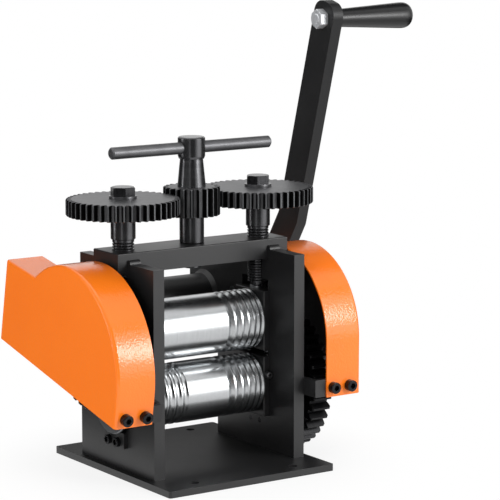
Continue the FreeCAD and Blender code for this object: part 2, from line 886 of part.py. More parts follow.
def idler_stud():
    """Shoulder bolt screwed into the right cheek; its head keeps the idler on."""
    head_start = drive_gear_end + face_gap
    head_end = head_start + stud_head_height
    stud = turned_x([
        (cheek_inner, stud_thread_r), (cheek_outer, stud_thread_r),
        (cheek_outer, stud_collar_r), (drive_gear_start - face_gap, stud_collar_r),
        (drive_gear_start - face_gap, stud_r), (head_start, stud_r),
        (head_start, stud_head_r), (head_end - 1, stud_head_r),
        (head_end, stud_head_r - 1)], *idler_centre)
    socket = to_x(hexagon(stud_hex_flats, stud_head_height), head_end - 3, *idler_centre)
    return stud.cut(socket)


# ---------------------------------------------------------------- crank shaft
pinion_hub_start = cheek_outer + face_gap
pinion_key_start = drive_gear_start - 3.5
pinion_key_end = drive_gear_end - 2.0
set_screw_x = (pinion_hub_start + pinion_key_start) / 2 - 0.3


def drive_shaft():
    """Shaft through the tube, with a pinion at each end and a square for the crank."""
    shaft = rod_x(shaft_r, -drive_gear_end, crank_start, shaft_y, shaft_z)
    half = crank_square / 2
    square_end = crank_start + crank_thick - 0.5
    square = box(crank_start, square_end, shaft_y - half, shaft_y + half,
                 shaft_z - half, shaft_z + half)
    square = square.common(rod_x(shaft_r - 0.8, crank_start, square_end, shaft_y, shaft_z))
    square.rotate(V(0, shaft_y, shaft_z), X_AXIS, crank_tilt)
    shaft = shaft.fuse(square)
    bolt_end = crank_start + crank_thick + crank_washer_thick - crank_bolt_length
    shaft = shaft.cut(rod_x(bolt_r, bolt_end, square_end + 1, shaft_y, shaft_z))
    return shaft.cut([right_pinion_key(), mirror_x(right_pinion_key()),
                      right_set_screw_body(), mirror_x(right_set_screw_body())])


def right_pinion_key():
    return key_block(pinion_key_start, pinion_key_end, shaft_r, shaft_y, shaft_z)


def pinion_keys():
    return both_sides(right_pinion_key())


def right_set_screw_body():
    """Set screw through the pinion's hub, from its point up to the hub's surface."""
    return rod_z(set_screw_r, shaft_z + shaft_r - set_screw_reach,
                 shaft_z + pinion_hub_r - 0.5, set_screw_x, shaft_y)


def set_screws():
    socket = hexagon(block_screw_hex, 2.0)
    socket.translate(V(set_screw_x, shaft_y, shaft_z + pinion_hub_r - 2.0))
    return both_sides(right_set_screw_body().cut(socket))


def right_drive_pinion():
    gear = to_x(drive_gear(drive_pinion_teeth, pinion_first), drive_gear_start,
                shaft_y, shaft_z)
    gear = gear.fuse(rod_x(pinion_hub_r, pinion_hub_start, drive_gear_start,
                           shaft_y, shaft_z))
    gear = gear.cut(rod_x(shaft_r, cheek_outer, drive_gear_end + 1, shaft_y, shaft_z))
    hole = rod_z(set_screw_r, shaft_z, shaft_z + pinion_hub_r + 1, set_screw_x, shaft_y)
    return gear.cut([right_pinion_key(), hole])


# ---------------------------------------------------------------- crank
def tilt_crank(shape):
    """Lean a crank part built upright over the shaft to the crank's rest angle."""
    leaned = shape.copy()
    leaned.rotate(V(0, shaft_y, shaft_z), X_AXIS, crank_tilt)
    return leaned


def crank_arm():
    x0 = crank_start
    x1 = crank_start + crank_offset
    bend = math.atan2(crank_offset, crank_bend_high - crank_bend_low)
    shift = crank_thick * math.tan(bend / 2)
    side = [
        (x0, -crank_foot), (x0, crank_bend_low), (x1, crank_bend_high),
        (x1, crank_length + crank_tip), (x1 + crank_thick, crank_length + crank_tip),
        (x1 + crank_thick, crank_bend_high - shift),
        (x0 + crank_thick, crank_bend_low - shift), (x0 + crank_thick, -crank_foot)]
    points = [V(x, shaft_y - crank_width / 2, shaft_z + s) for x, s in side]
    strip = Part.Face(Part.makePolygon(points + points[:1])).extrude(V(0, crank_width, 0))
    outline = box(x0 - 1, x1 + crank_thick + 1, shaft_y - crank_width / 2,
                  shaft_y + crank_width / 2, shaft_z - crank_foot,
                  shaft_z + crank_length + crank_tip)
    ends = [e for e in outline.Edges if e.BoundBox.XLength > crank_offset]
    arm = strip.common(outline.makeFillet(crank_corner, ends))
    half = crank_square / 2
    square = box(x0 - 1, x0 + crank_thick + 1, shaft_y - half, shaft_y + half,
                 shaft_z - half, shaft_z + half)
    hole = square.common(rod_x(shaft_r - 0.8, x0 - 1, x0 + crank_thick + 1,
                               shaft_y, shaft_z))
    eye = rod_x(grip_stud_r, x1 - 1, x1 + crank_thick + 1, shaft_y, shaft_z + crank_length)
    return tilt_crank(arm.cut([hole, eye]))


def crank_washer():
    x0 = crank_start + crank_thick
    ring = rod_x(crank_washer_r, x0, x0 + crank_washer_thick, shaft_y, shaft_z)
    return ring.cut(rod_x(bolt_r + 0.3, x0 - 1, x0 + crank_washer_thick + 1,
                          shaft_y, shaft_z))


def crank_bolt():
    seat = crank_start + crank_thick + crank_washer_thick
    head = to_x(hex_head(bolt_head_flats, bolt_head_height), seat, shaft_y, shaft_z)
    return head.fuse(rod_x(bolt_r, seat - crank_bolt_length, seat, shaft_y, shaft_z))


grip_z = shaft_z + crank_length
arm_inner = crank_start + crank_offset
arm_outer = arm_inner + crank_thick
grip_start = arm_outer + grip_shoulder + face_gap
knob_start = arm_outer + grip_bore_length


def grip_stud():
    stud = turned_x([
        (arm_inner - grip_nut_height - grip_stud_end, grip_stud_r - 0.6),
        (arm_inner - grip_nut_height - grip_stud_end + 0.6, grip_stud_r),
        (arm_outer, grip_stud_r), (arm_outer, grip_shoulder_r),
        (arm_outer + grip_shoulder, grip_shoulder_r),
        (arm_outer + grip_shoulder, grip_stud_r), (knob_start, grip_stud_r),
        (knob_start, grip_knob_r), (knob_start + grip_knob_length, grip_knob_r)],
        shaft_y, grip_z)
    return tilt_crank(stud)


def crank_eye():
    """Y and Z of the grip's stud with the crank at its rest angle."""
    tilt = math.radians(crank_tilt)
    return (shaft_y - crank_length * math.sin(tilt), shaft_z + crank_length * math.cos(tilt))


def grip_nut():
    """Nut on the stud, left with two of its corners upright."""
    y, z = crank_eye()
    nut = to_minus_x(hex_head(grip_nut_flats, grip_nut_height), arm_inner, y, z)
    return nut.cut(rod_x(grip_stud_r, arm_inner - grip_nut_height - 1, arm_inner + 1, y, z))


def crank_grip():
    """Tapered grip, domed at its free end, moulded over the stud's knob."""
    end = grip_start + grip_length
    dome_start = end - grip_dome
    shoulder_x = dome_start + grip_dome * 0.7
    outer = turned_x([
        (grip_start, grip_small_r - 1), (grip_start + 1, grip_small_r),
        (dome_start, grip_large_r), (dome_start + grip_dome * 0.4, grip_large_r - 0.9),
        (shoulder_x, grip_large_r - 2.4), (end, grip_large_r - 6)], shaft_y, grip_z)
    clearance = 2 * running_fit
    bore = rod_x(grip_stud_r + running_fit, grip_start - 1, knob_start, shaft_y, grip_z)
    room = rod_x(grip_knob_r + clearance, knob_start - face_gap,
                 knob_start + grip_knob_length + face_gap, shaft_y, grip_z)
    return tilt_crank(outer.cut([bore, room]))


# ---------------------------------------------------------------- gap adjustment
def threaded_profile(bottom, top):
    """Outline of ring threads from bottom to top, as (radius, z) points."""
    turns = int((top - bottom) / screw_pitch)
    root = screw_r - thread_depth
    points = [(screw_r, bottom)]
    for i in range(turns):
        z = bottom + i * screw_pitch
        points += [(screw_r, z + 0.3 * screw_pitch), (root, z + 0.6 * screw_pitch),
                   (screw_r, z + 0.9 * screw_pitch)]
    return points + [(screw_r, top)]


def spigot_cut():
    """What is taken off the spigot to leave a drive flat."""
    return box(screw_x - spigot_r - 1, screw_x + spigot_r + 1, spigot_flat,
               spigot_r + 1, adjust_gear_bottom, adjust_gear_top + 1)


def right_adjusting_screw():
    thread_bottom = pad_top + nose_length
    profile = [(nose_r - 0.5, pad_top), (nose_r, pad_top + 0.5), (nose_r, thread_bottom)]
    profile += threaded_profile(thread_bottom, thread_top)
    profile += [(collar_r - 0.5, thread_top), (collar_r, thread_top + 0.5),
                (collar_r, adjust_gear_bottom), (spigot_r, adjust_gear_bottom),
                (spigot_r, adjust_gear_top - 0.1)]
    screw = turned_z(profile, screw_x)
    bolt_end = adjust_gear_top + gear_washer_thick - bolt_length
    screw = screw.cut(rod_z(bolt_r, bolt_end, adjust_gear_top + 1, screw_x))
    return screw.cut(spigot_cut())


def adjusting_gear(side):
    """Gear on the left (side -1) or right (side 1) screw, in mesh with the pinion."""
    first = meshed_angle(pinion_teeth, math.radians(90), (0, 0), adjust_teeth,
                         (side * screw_x, 0))
    gear = gear_blank(adjust_teeth, adjust_module, adjust_gear_face, adjust_module,
                      1.25 * adjust_module, backlash, first)
    gear.translate(V(side * screw_x, 0, adjust_gear_bottom))
    bore = rod_z(spigot_r, adjust_gear_bottom - 1, adjust_gear_top + 1, screw_x)
    bore = bore.cut(spigot_cut())
    bore = bore.cut(box(0, 2 * screw_x, spigot_flat, spigot_r + 1,
                        adjust_gear_bottom - 2, adjust_gear_top + 2))
    return gear.cut(bore if side > 0 else mirror_x(bore))


def right_gear_washer():
    ring = rod_z(gear_washer_r, adjust_gear_top, adjust_gear_top + gear_washer_thick, screw_x)
    return ring.cut(rod_z(bolt_r + 0.3, adjust_gear_top - 1, adjust_gear_top + 5, screw_x))


def gear_bolt(x, turn):
    seat = adjust_gear_top + gear_washer_thick
    head = hex_head(bolt_head_flats, bolt_head_height)
    head.rotate(V(0, 0, 0), Z_AXIS, turn)
    head.translate(V(x, 0, seat))
    return head.fuse(rod_z(bolt_r, seat - bolt_length, seat, x))


def adjuster_pinion():
    gear = gear_blank(pinion_teeth, adjust_module, adjust_pinion_face, adjust_module,
                      1.25 * adjust_module, backlash, math.radians(90))
    gear.translate(V(0, 0, adjust_pinion_bottom))
    return gear.cut(rod_z(post_r, adjust_pinion_bottom - 1, adjust_pinion_top + 1))


spindle_clip_z = crossbar_bottom - face_gap - circlip_thick


def adjuster_spindle():
    bottom = spindle_clip_z - 2.0
    seat = crossbar_top + spindle_float
    groove = spindle_head_bottom + 2.0
    spindle = turned_z([
        (post_spigot_r - 0.5, bottom), (post_spigot_r, bottom + 0.5),
        (post_spigot_r, spindle_clip_z), (post_spigot_r - circlip_depth, spindle_clip_z),
        (post_spigot_r - circlip_depth, spindle_clip_z + circlip_thick),
        (post_spigot_r, spindle_clip_z + circlip_thick), (post_spigot_r, seat),
        (post_r - 0.5, seat), (post_r, seat + 0.5), (post_r, adjust_pinion_top),
        (spindle_neck_r, adjust_pinion_top), (spindle_waist_r, spindle_head_bottom),
        (spindle_head_r - spindle_chamfer, spindle_head_bottom), (spindle_head_r, groove),
        (spindle_head_r, spindle_head_top - spindle_chamfer),
        (spindle_head_r - spindle_chamfer, spindle_head_top)])
    return spindle.cut(rod_x(adjust_bar_r, -spindle_head_r - 1, spindle_head_r + 1,
                             0, adjust_bar_z))


def spindle_circlip():
    ring = rod_z(post_spigot_r + circlip_rim, spindle_clip_z, spindle_clip_z + circlip_thick)
    ring = ring.cut(rod_z(post_spigot_r - circlip_depth, spindle_clip_z - 1,
                          spindle_clip_z + circlip_thick + 1))
    return ring.cut(box(-circlip_gap / 2, circlip_gap / 2, 0, post_spigot_r + circlip_rim + 1,
                        spindle_clip_z - 1, spindle_clip_z + circlip_thick + 1))


def adjuster_bar():
    end = adjust_bar_half
    chamfer = bar_end_chamfer
    return turned_x([
        (-end, adjust_bar_r - chamfer), (-end + chamfer, adjust_bar_r),
        (end - chamfer, adjust_bar_r), (end, adjust_bar_r - chamfer)], 0, adjust_bar_z)


# ---------------------------------------------------------------- covers
def rear_wall_up():
    tilt = math.radians(cover_rear_tilt)
    return (-math.sin(tilt), math.cos(tilt))


class Cover:
    """What differs between the two covers."""

    def __init__(self, start, arc_y, arc_z, arc_r, front_lean, screw_inset, screw_pitch):
        self.start = start
        self.arc_y = arc_y
        self.arc_z = arc_z
        self.arc_r = arc_r
        self.front_lean = front_lean
        self.screw_places = [start + screw_inset, start + screw_inset + screw_pitch]


left_hood = Cover(left_cover_start, left_arc_y, left_arc_z, left_arc_r,
                  left_front_lean, left_screw_inset, left_screw_pitch)
right_hood = Cover(right_cover_start, right_arc_y, right_arc_z, right_arc_r,
                   right_front_lean, right_screw_inset, right_screw_pitch)


def cover_corners(hood, inset):
    """Corners of the cover's side view, moved inwards by the sheet's thickness."""
    r = hood.arc_r - inset
    lean = math.radians(hood.front_lean)
    front = (hood.arc_y - r * math.cos(lean), hood.arc_z - r * math.sin(lean))
    front_foot = (front[0] + (front[1] - cover_bottom) * math.tan(lean), cover_bottom)
    up = rear_wall_up()
    rear_foot = (cover_rear_y - inset * up[1], cover_rear_z + inset * up[0])
    rear_top = (cover_rear_y + cover_rear_height * up[0],
                cover_rear_z + cover_rear_height * up[1])
    slope = math.radians(cover_top_slope)
    forward = (-math.cos(slope), -math.sin(slope))
    top_point = (rear_top[0] - inset * forward[1], rear_top[1] + inset * forward[0])
    corner = meeting_point(rear_foot, up, top_point, forward)
    valley = circle_meeting((hood.arc_y, hood.arc_z), r, corner, forward)
    return {"front": front, "front_foot": front_foot, "rear_foot": rear_foot,
            "corner": corner, "valley": valley, "r": r}


def cover_solid(hood, inset, x0, x1, drop):
    """Filled cover between x0 and x1; drop lengthens it downwards for cutting."""
    c = cover_corners(hood, inset)
    front, valley = V(x0, *c["front"]), V(x0, *c["valley"])
    high = V(x0, hood.arc_y, hood.arc_z + c["r"])
    corner = V(x0, *c["corner"])
    up = rear_wall_up()
    rear_foot = V(x0, *c["rear_foot"])
    front_foot = V(x0, *c["front_foot"])
    outline = [
        Part.LineSegment(front_foot, front).toShape(),
        Part.Arc(front, high, valley).toShape(),
        Part.LineSegment(valley, corner).toShape(),
        Part.LineSegment(corner, rear_foot).toShape()]
    if drop > 0:
        low_rear = rear_foot - V(0, up[0], up[1]) * drop
        lean = math.radians(hood.front_lean)
        low_front = front_foot + V(0, math.tan(lean) * drop, -drop)
        outline.append(Part.LineSegment(rear_foot, low_rear).toShape())
        outline.append(Part.LineSegment(low_rear, low_front).toShape())
        outline.append(Part.LineSegment(low_front, front_foot).toShape())
    else:
        outline.append(Part.LineSegment(rear_foot, front_foot).toShape())
    return Part.Face(Part.Wire(outline)).extrude(V(x1 - x0, 0, 0))


def outer_rim_edges(hood, shape, x):
    """Edges of the cover's closed side that lie between the rim and the flat face."""
    edges = []
    for edge in shape.Edges:
        b = edge.BoundBox
        on_face = abs(b.XMin - x) < 0.01 and abs(b.XMax - x) < 0.01
        is_bottom = b.ZMin < cover_bottom + 0.1 and b.YLength > hood.arc_r
        if on_face and not is_bottom:
            edges.append(edge)
    return edges


def bracket_frames(hood):
    """Outward side, foot, lean in degrees and height of the front and rear brackets."""
    c = cover_corners(hood, cover_sheet)
    return [(-1, c["front_foot"], hood.front_lean, bracket_height),
            (1, c["rear_foot"], cover_rear_tilt, bracket_rear_height)]


def lean_about(shape, foot, angle):
    leaned = shape.copy()
    leaned.rotate(V(0, foot[0], foot[1]), X_AXIS, angle)
    return leaned


def bracket(hood, frame, leg, spacer):
    """Angle bracket: a leg beside the cheek and a strip behind the cover's wall.

    The spacer is the thickness of a pad that holds the leg off the cheek.
    """
    outward, foot, angle, height = frame
    y_wall = foot[0]
    leg_x = cheek_outer + spacer
    y_end = y_wall - outward * leg
    strip_y = sorted((y_wall, y_wall - outward * bracket_thick))
    leg_y = sorted((y_wall, y_end))
    pad_y = sorted((y_end, y_end + outward * bracket_pad))
    bottom = foot[1] + bracket_rise
    top = bottom + height
    strip_end = hood.start + cover_depth - cover_edge
    shape = box(leg_x, strip_end, strip_y[0], strip_y[1], bottom, top)
    shape = shape.fuse(box(leg_x, leg_x + bracket_thick, leg_y[0], leg_y[1], bottom, top))
    if spacer > 0:
        shape = shape.fuse(box(cheek_outer, leg_x, pad_y[0], pad_y[1], bottom, top))
    shape = shape.removeSplitter()
    for x in hood.screw_places:
        shape = shape.cut(rod_y(cover_screw_r, strip_y[0] - 1, strip_y[1] + 1,
                                x, (bottom + top) / 2))
    return lean_about(shape, foot, angle)


def cover_brackets(hood, front_spacer):
    front, rear = bracket_frames(hood)
    return Part.makeCompound([bracket(hood, front, bracket_leg, front_spacer),
                              bracket(hood, rear, bracket_rear_leg, 0)])


def placed_cover_screws(hood):
    """Two screws through the front wall and two through the rear wall."""
    screws = []
    length = cover_sheet + bracket_thick
    for outward, foot, angle, height in bracket_frames(hood):
        screw_z = foot[1] + bracket_rise + height / 2
        for x in hood.screw_places:
            screw = cap_screw(cover_screw_r, length, cover_screw_head_r, cover_screw_head,
                              cover_screw_hex)
            turn = FreeCAD.Rotation(X_AXIS, -90 * outward)
            screw.Placement = FreeCAD.Placement(
                V(x, foot[0] + outward * cover_sheet, screw_z), turn)
            screws.append(lean_about(screw, foot, angle))
    return screws


def right_hand_cover(hood, with_shaft_hole):
    end = hood.start + cover_depth
    shell = cover_solid(hood, 0, hood.start, end, 0)
    shell = shell.makeFillet(cover_edge, outer_rim_edges(hood, shell, end))
    hollow = cover_solid(hood, cover_sheet, hood.start - 1, end - cover_sheet, 20)
    inner_edges = [e for e in hollow.Edges
                   if abs(e.BoundBox.XMin - (end - cover_sheet)) < 0.01
                   and e.BoundBox.ZMin > cover_bottom - 1]
    hollow = hollow.makeFillet(cover_edge - cover_sheet, inner_edges)
    shell = shell.cut(hollow)
    if with_shaft_hole:
        shell = shell.cut(rod_x(shaft_hole_r, end - 2 * cover_sheet, end + 1,
                                shaft_y, shaft_z))
    for outward, foot, angle, height in bracket_frames(hood):
        screw_z = foot[1] + bracket_rise + height / 2
        y0, y1 = sorted((foot[0] - outward, foot[0] + outward * (cover_sheet + 1)))
        for x in hood.screw_places:
            hole = rod_y(cover_screw_r, y0, y1, x, screw_z)
            shell = shell.cut(lean_about(hole, foot, angle))
    return shell


# ---------------------------------------------------------------- assembly
def build():
    cheek = right_cheek()
    parts["base_plate"] = base_plate()
    parts["left_cheek"] = mirror_x(cheek)
    parts["right_cheek"] = drilled_right_cheek()
    parts["crossbar"] = crossbar()
    parts["shaft_tube"] = shaft_tube()
    parts["frame_welds"] = frame_welds()
    parts["base_screws"] = base_screws()
    parts["shaft_bushes"] = shaft_bushes()

    parts["right_lower_block"] = right_lower_block()
    parts["left_lower_block"] = mirror_x(right_lower_block())
    parts["lower_bushes"] = roll_bushes(lower_roll_z)
    parts["lower_keepers"] = lower_keepers()
    parts["keeper_screws"] = keeper_screws()
    parts["lower_block_screws"] = lower_block_screws()
    parts["lift_springs"] = lift_springs()
    parts["right_upper_block"] = right_upper_block()
    parts["left_upper_block"] = mirror_x(right_upper_block())
    parts["upper_bushes"] = roll_bushes(upper_roll_z)
    parts["thrust_pads"] = thrust_pads()

    parts["lower_roll"] = lower_roll()
    parts["upper_roll"] = upper_roll()
    parts["lower_roll_gear"] = lower_roll_gear()
    parts["upper_roll_gear"] = upper_roll_gear()
    parts["lower_roll_collar"] = lower_roll_collar()
    parts["lower_roll_key"] = lower_roll_key()
    parts["upper_roll_key"] = upper_roll_key()
    parts["lower_roll_circlips"] = lower_roll_circlips()
    parts["upper_roll_circlips"] = upper_roll_circlips()

    parts["idler_gear"] = idler_gear()
    parts["idler_bush"] = idler_bush()
    parts["idler_stud"] = idler_stud()
    parts["drive_shaft"] = drive_shaft()
    parts["right_drive_pinion"] = right_drive_pinion()
    parts["left_drive_pinion"] = mirror_x(right_drive_pinion())
    parts["pinion_keys"] = pinion_keys()
    parts["set_screws"] = set_screws()

    parts["crank_arm"] = crank_arm()
    parts["crank_bolt"] = crank_bolt()
    parts["crank_washer"] = crank_washer()
    parts["grip_stud"] = grip_stud()
    parts["grip_nut"] = grip_nut()
    parts["crank_grip"] = crank_grip()

    parts["right_adjusting_screw"] = right_adjusting_screw()
    parts["left_adjusting_screw"] = mirror_x(right_adjusting_screw())
    parts["right_adjusting_gear"] = adjusting_gear(1)
    parts["left_adjusting_gear"] = adjusting_gear(-1)
    parts["right_gear_washer"] = right_gear_washer()
    parts["left_gear_washer"] = mirror_x(right_gear_washer())
    parts["right_gear_bolt"] = gear_bolt(screw_x, right_bolt_turn)
    parts["left_gear_bolt"] = gear_bolt(-screw_x, left_bolt_turn)
    parts["adjuster_spindle"] = adjuster_spindle()
    parts["adjuster_pinion"] = adjuster_pinion()
    parts["adjuster_bar"] = adjuster_bar()
    parts["spindle_circlip"] = spindle_circlip()

    parts["right_cover"] = right_hand_cover(right_hood, True)
    parts["left_cover"] = mirror_x(right_hand_cover(left_hood, False))
    parts["right_cover_brackets"] = cover_brackets(right_hood, 0)
    parts["left_cover_brackets"] = mirror_x(cover_brackets(left_hood, left_bracket_spacer))
    left_screws = [mirror_x(s) for s in placed_cover_screws(left_hood)]
    parts["cover_screws"] = Part.makeCompound(placed_cover_screws(right_hood) + left_screws)


build()
os.makedirs("parts", exist_ok=True)
for name, shape in parts.items():
    if not shape.isValid() or not shape.Solids:
        raise ValueError("invalid shape: " + name)
    shape.exportStep("parts/" + name + ".step")
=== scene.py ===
# %% [markdown]
# # A jewellers rolling mill
#
# A rolling mill squeezes metal sheet and wire between two hardened rolls. This lesson
# dresses one: a painted steel frame, polished rolls, blackened gears and screws, and two
# powder-coated covers. The shapes that matter for fit come from a CAD frame, so the work
# here is in edges, finishes, and light.

# %% Load the frame
import json
import math

import bpy
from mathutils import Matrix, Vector


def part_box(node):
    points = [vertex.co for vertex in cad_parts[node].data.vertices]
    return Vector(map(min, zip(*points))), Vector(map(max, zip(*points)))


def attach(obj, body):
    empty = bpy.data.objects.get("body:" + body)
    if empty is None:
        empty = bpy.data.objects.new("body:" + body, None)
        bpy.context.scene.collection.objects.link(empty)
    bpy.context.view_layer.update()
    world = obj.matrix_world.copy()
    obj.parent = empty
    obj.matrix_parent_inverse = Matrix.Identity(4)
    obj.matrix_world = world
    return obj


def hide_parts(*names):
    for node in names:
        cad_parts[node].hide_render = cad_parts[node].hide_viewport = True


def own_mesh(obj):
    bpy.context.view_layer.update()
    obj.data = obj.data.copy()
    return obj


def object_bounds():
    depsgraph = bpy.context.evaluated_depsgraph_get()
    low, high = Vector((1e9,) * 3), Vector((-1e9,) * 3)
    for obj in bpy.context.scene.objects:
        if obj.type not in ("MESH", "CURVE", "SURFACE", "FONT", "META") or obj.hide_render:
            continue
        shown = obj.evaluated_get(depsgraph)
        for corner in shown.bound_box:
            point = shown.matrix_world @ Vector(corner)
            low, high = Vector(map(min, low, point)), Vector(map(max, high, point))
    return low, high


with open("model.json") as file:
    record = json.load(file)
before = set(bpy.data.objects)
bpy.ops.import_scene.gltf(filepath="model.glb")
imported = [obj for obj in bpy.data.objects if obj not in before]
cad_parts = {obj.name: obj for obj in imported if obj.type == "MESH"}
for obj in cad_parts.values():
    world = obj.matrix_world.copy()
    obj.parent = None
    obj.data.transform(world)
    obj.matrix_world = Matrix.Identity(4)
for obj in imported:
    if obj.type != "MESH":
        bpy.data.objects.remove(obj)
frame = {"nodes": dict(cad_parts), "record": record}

cad_low, cad_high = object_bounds()

# %% [markdown]
# ## Units and helpers
#
# The scene is in metres, and a workshop thinks in millimetres, so one constant converts.
# Colours are written as the sRGB hex values that a colour picker gives, and one function
# turns them into the linear values that the renderer needs. Another adds a shader node
# with its settings and its links, which keeps every recipe below readable.

# %% Helpers
MM = 0.001


def linear(hex_colour):
    """Linear RGBA of an sRGB hex colour such as '#ff8800'."""
    channels = [int(hex_colour[i:i + 2], 16) / 255 for i in (1, 3, 5)]
    return [c / 12.92 if c <= 0.04045 else ((c + 0.055) / 1.055) ** 2.4
            for c in channels] + [1.0]


def add(tree, kind, settings=None, links=None):
    """Add a node, set its properties or socket values, and link its inputs."""
    node = tree.nodes.new(kind)
    for name, value in (settings or {}).items():
        if isinstance(name, str) and hasattr(node, name):
            setattr(node, name, value)
        else:
            node.inputs[name].default_value = value
    for name, output in (links or {}).items():
        tree.links.new(output, node.inputs[name])
    return node


def per(size_mm):
    """Texture scale that makes one feature about size_mm long."""
    return 1.0 / (size_mm * MM)


def deselect():
    bpy.ops.object.select_all(action="DESELECT")
    bpy.context.view_layer.objects.active = None


deselect()
print("white is", linear("#ffffff"))

# %% [markdown]
# ## Camera
#
# A long lens from the left front shows the rolls, the flat side of one cover and the rim
# of the other. The lens is long because a machine like this is drawn nearly without
# perspective, so upright edges stay upright.

# %% Camera
CAMERA_PLACE = (-0.94321, -1.46842, 0.44179)
CAMERA_AZIMUTH = -34.114
CAMERA_ELEVATION = 9.198
CAMERA_LENS = 173.55

camera_data = bpy.data.cameras.new("camera")
camera_data.lens = CAMERA_LENS
camera_data.sensor_width = 36
camera = bpy.data.objects.new("camera", camera_data)
camera.location = CAMERA_PLACE
camera.rotation_euler = (math.radians(90 - CAMERA_ELEVATION), 0,
                         math.radians(CAMERA_AZIMUTH))
bpy.context.scene.collection.objects.link(camera)
bpy.context.scene.camera = camera
print("camera", round(Vector(CAMERA_PLACE).length, 2), "m from the base plate's centre")

# %% [markdown]
# ## Backdrop and floor
#
# The room is white where the camera or a mirror-like surface looks at it, but it gives
# the object only plain light, so the machine is never washed out. The Light Path node
# tells the two apart. The floor does the same, with one more step: close to the machine
# a share of it is real diffuse paint, which holds the soft shadow under the base plate.
# That share fades out with distance, so no horizon line shows behind the machine.

# %% World
BACKDROP = "#ffffff"
AMBIENT = 0.50


def white_where_seen(tree):
    """1 for camera, glossy and transmission rays, 0 for the light on surfaces."""
    path = add(tree, "ShaderNodeLightPath")
    seen = add(tree, "ShaderNodeMath", {"operation": "MAXIMUM"},
               {0: path.outputs["Is Camera Ray"], 1: path.outputs["Is Glossy Ray"]})
    return add(tree, "ShaderNodeMath", {"operation": "MAXIMUM"},
               {0: seen.outputs[0], 1: path.outputs["Is Transmission Ray"]}).outputs[0]


world = bpy.data.worlds.new("studio")
bpy.context.scene.world = world
world.use_nodes = True
world.node_tree.nodes.clear()
strength = add(world.node_tree, "ShaderNodeMapRange", {"To Min": AMBIENT, "To Max": 1.0},
               {"Value": white_where_seen(world.node_tree)})
background = add(world.node_tree, "ShaderNodeBackground", {"Color": linear(BACKDROP)},
                 {"Strength": strength.outputs[0]})
add(world.node_tree, "ShaderNodeOutputWorld", {}, {"Surface": background.outputs[0]})
bpy.context.scene.view_settings.view_transform = "Standard"
print("world light on surfaces:", AMBIENT)

# %% Floor
FLOOR_SIZE = 8.0
SHADOW_SHARE = 0.17     # share of the floor near the machine that a shadow can darken
SHADOW_FULL_TO = 0.09   # metres from the machine's middle
SHADOW_GONE_AT = 0.18

bpy.ops.mesh.primitive_plane_add(size=FLOOR_SIZE, location=(0, 0, cad_low.z - 0.1 * MM))
floor = bpy.context.object
floor.name = "floor"
floor_material = bpy.data.materials.new("white_floor")
floor_material.use_nodes = True
floor_tree = floor_material.node_tree
floor_tree.nodes.clear()
floor_place = add(floor_tree, "ShaderNodeTexCoord").outputs["Object"]
floor_reach = add(floor_tree, "ShaderNodeVectorMath", {"operation": "LENGTH"},
                  {0: floor_place}).outputs["Value"]
painted = add(floor_tree, "ShaderNodeMapRange",
              {"interpolation_type": "SMOOTHSTEP", "From Min": SHADOW_FULL_TO,
               "From Max": SHADOW_GONE_AT, "To Min": 1 - SHADOW_SHARE, "To Max": 1.0},
              {"Value": floor_reach})
glowing = add(floor_tree, "ShaderNodeMath", {"operation": "MULTIPLY"},
              {0: white_where_seen(floor_tree), 1: painted.outputs[0]})
floor_paint = add(floor_tree, "ShaderNodeBsdfDiffuse", {"Color": linear("#ffffff")})
floor_glow = add(floor_tree, "ShaderNodeEmission", {"Color": linear(BACKDROP)})
floor_mix = add(floor_tree, "ShaderNodeMixShader", {},
                {0: glowing.outputs[0], 1: floor_paint.outputs[0],
                 2: floor_glow.outputs[0]})
add(floor_tree, "ShaderNodeOutputMaterial", {}, {"Surface": floor_mix.outputs[0]})
floor.data.materials.append(floor_material)
deselect()
print("floor at z =", round(floor.location.z, 5))

# %% [markdown]
# ## Softboxes
#
# The main softbox stands to the right of the camera, where the plates' front faces and
# the rolls mirror it: it draws the long white band on the rolls. A second one on the
# left fills the cover's flat side, and a weak one above keeps the tops from going dead.
# A narrow strip behind on the left adds the thin second line down each dark cylinder.
# A lamp's brightness in a mirror is its power over its area, so each is given by that.
# A real softbox is hotter in its middle, where the bulb is, so the front one is two
# lamps, a wide dim one and a small bright core, and its band on steel fades at the edges.

# %% Softboxes
AIM = Vector((0, 0, 0.12))


def softbox(name, place, width, height, brightness):
    """A rectangular area lamp that faces the machine; brightness 1 is white."""
    lamp = bpy.data.lights.new(name, "AREA")
    lamp.shape = "RECTANGLE"
    lamp.size, lamp.size_y = width, height
    lamp.energy = brightness * width * height * math.pi
    box = bpy.data.objects.new(name, lamp)
    box.location = place
    box.rotation_euler = (AIM - Vector(place)).to_track_quat("-Z", "Y").to_euler()
    bpy.context.scene.collection.objects.link(box)
    print(name, round(lamp.energy, 1), "W")


softbox("front_softbox", (0.74, -1.05, 0.46), 0.84, 1.04, 1.5)
softbox("front_softbox_core", (0.60, -1.06, 0.49), 0.40, 0.36, 11.0)
softbox("left_softbox", (-1.35, -0.55, 0.80), 0.95, 0.95, 3.2)
softbox("top_softbox", (0.10, 0.30, 1.60), 1.20, 1.20, 0.8)
softbox("left_strip", (-1.15, 0.48, 0.38), 0.10, 0.90, 6.0)

# %% [markdown]
# ## Black flags
#
# A shiny black part shows the room more than its own colour: in a white room it looks
# grey. Studios stand black cards, called flags, round such a part. They leave two gaps,
# one at the main softbox and one at the backdrop behind, so each dark surface turns
# either deep black or crisp white. The flags are seen by reflections only: they throw
# no shadow and hide nothing from the camera.

# %% Flags
FELT = bpy.data.materials.new("black_felt")
FELT.use_nodes = True
felt_tree = FELT.node_tree
felt_tree.nodes.clear()
felt = add(felt_tree, "ShaderNodeBsdfDiffuse", {"Color": linear("#161616")})
add(felt_tree, "ShaderNodeOutputMaterial", {}, {"Surface": felt.outputs[0]})


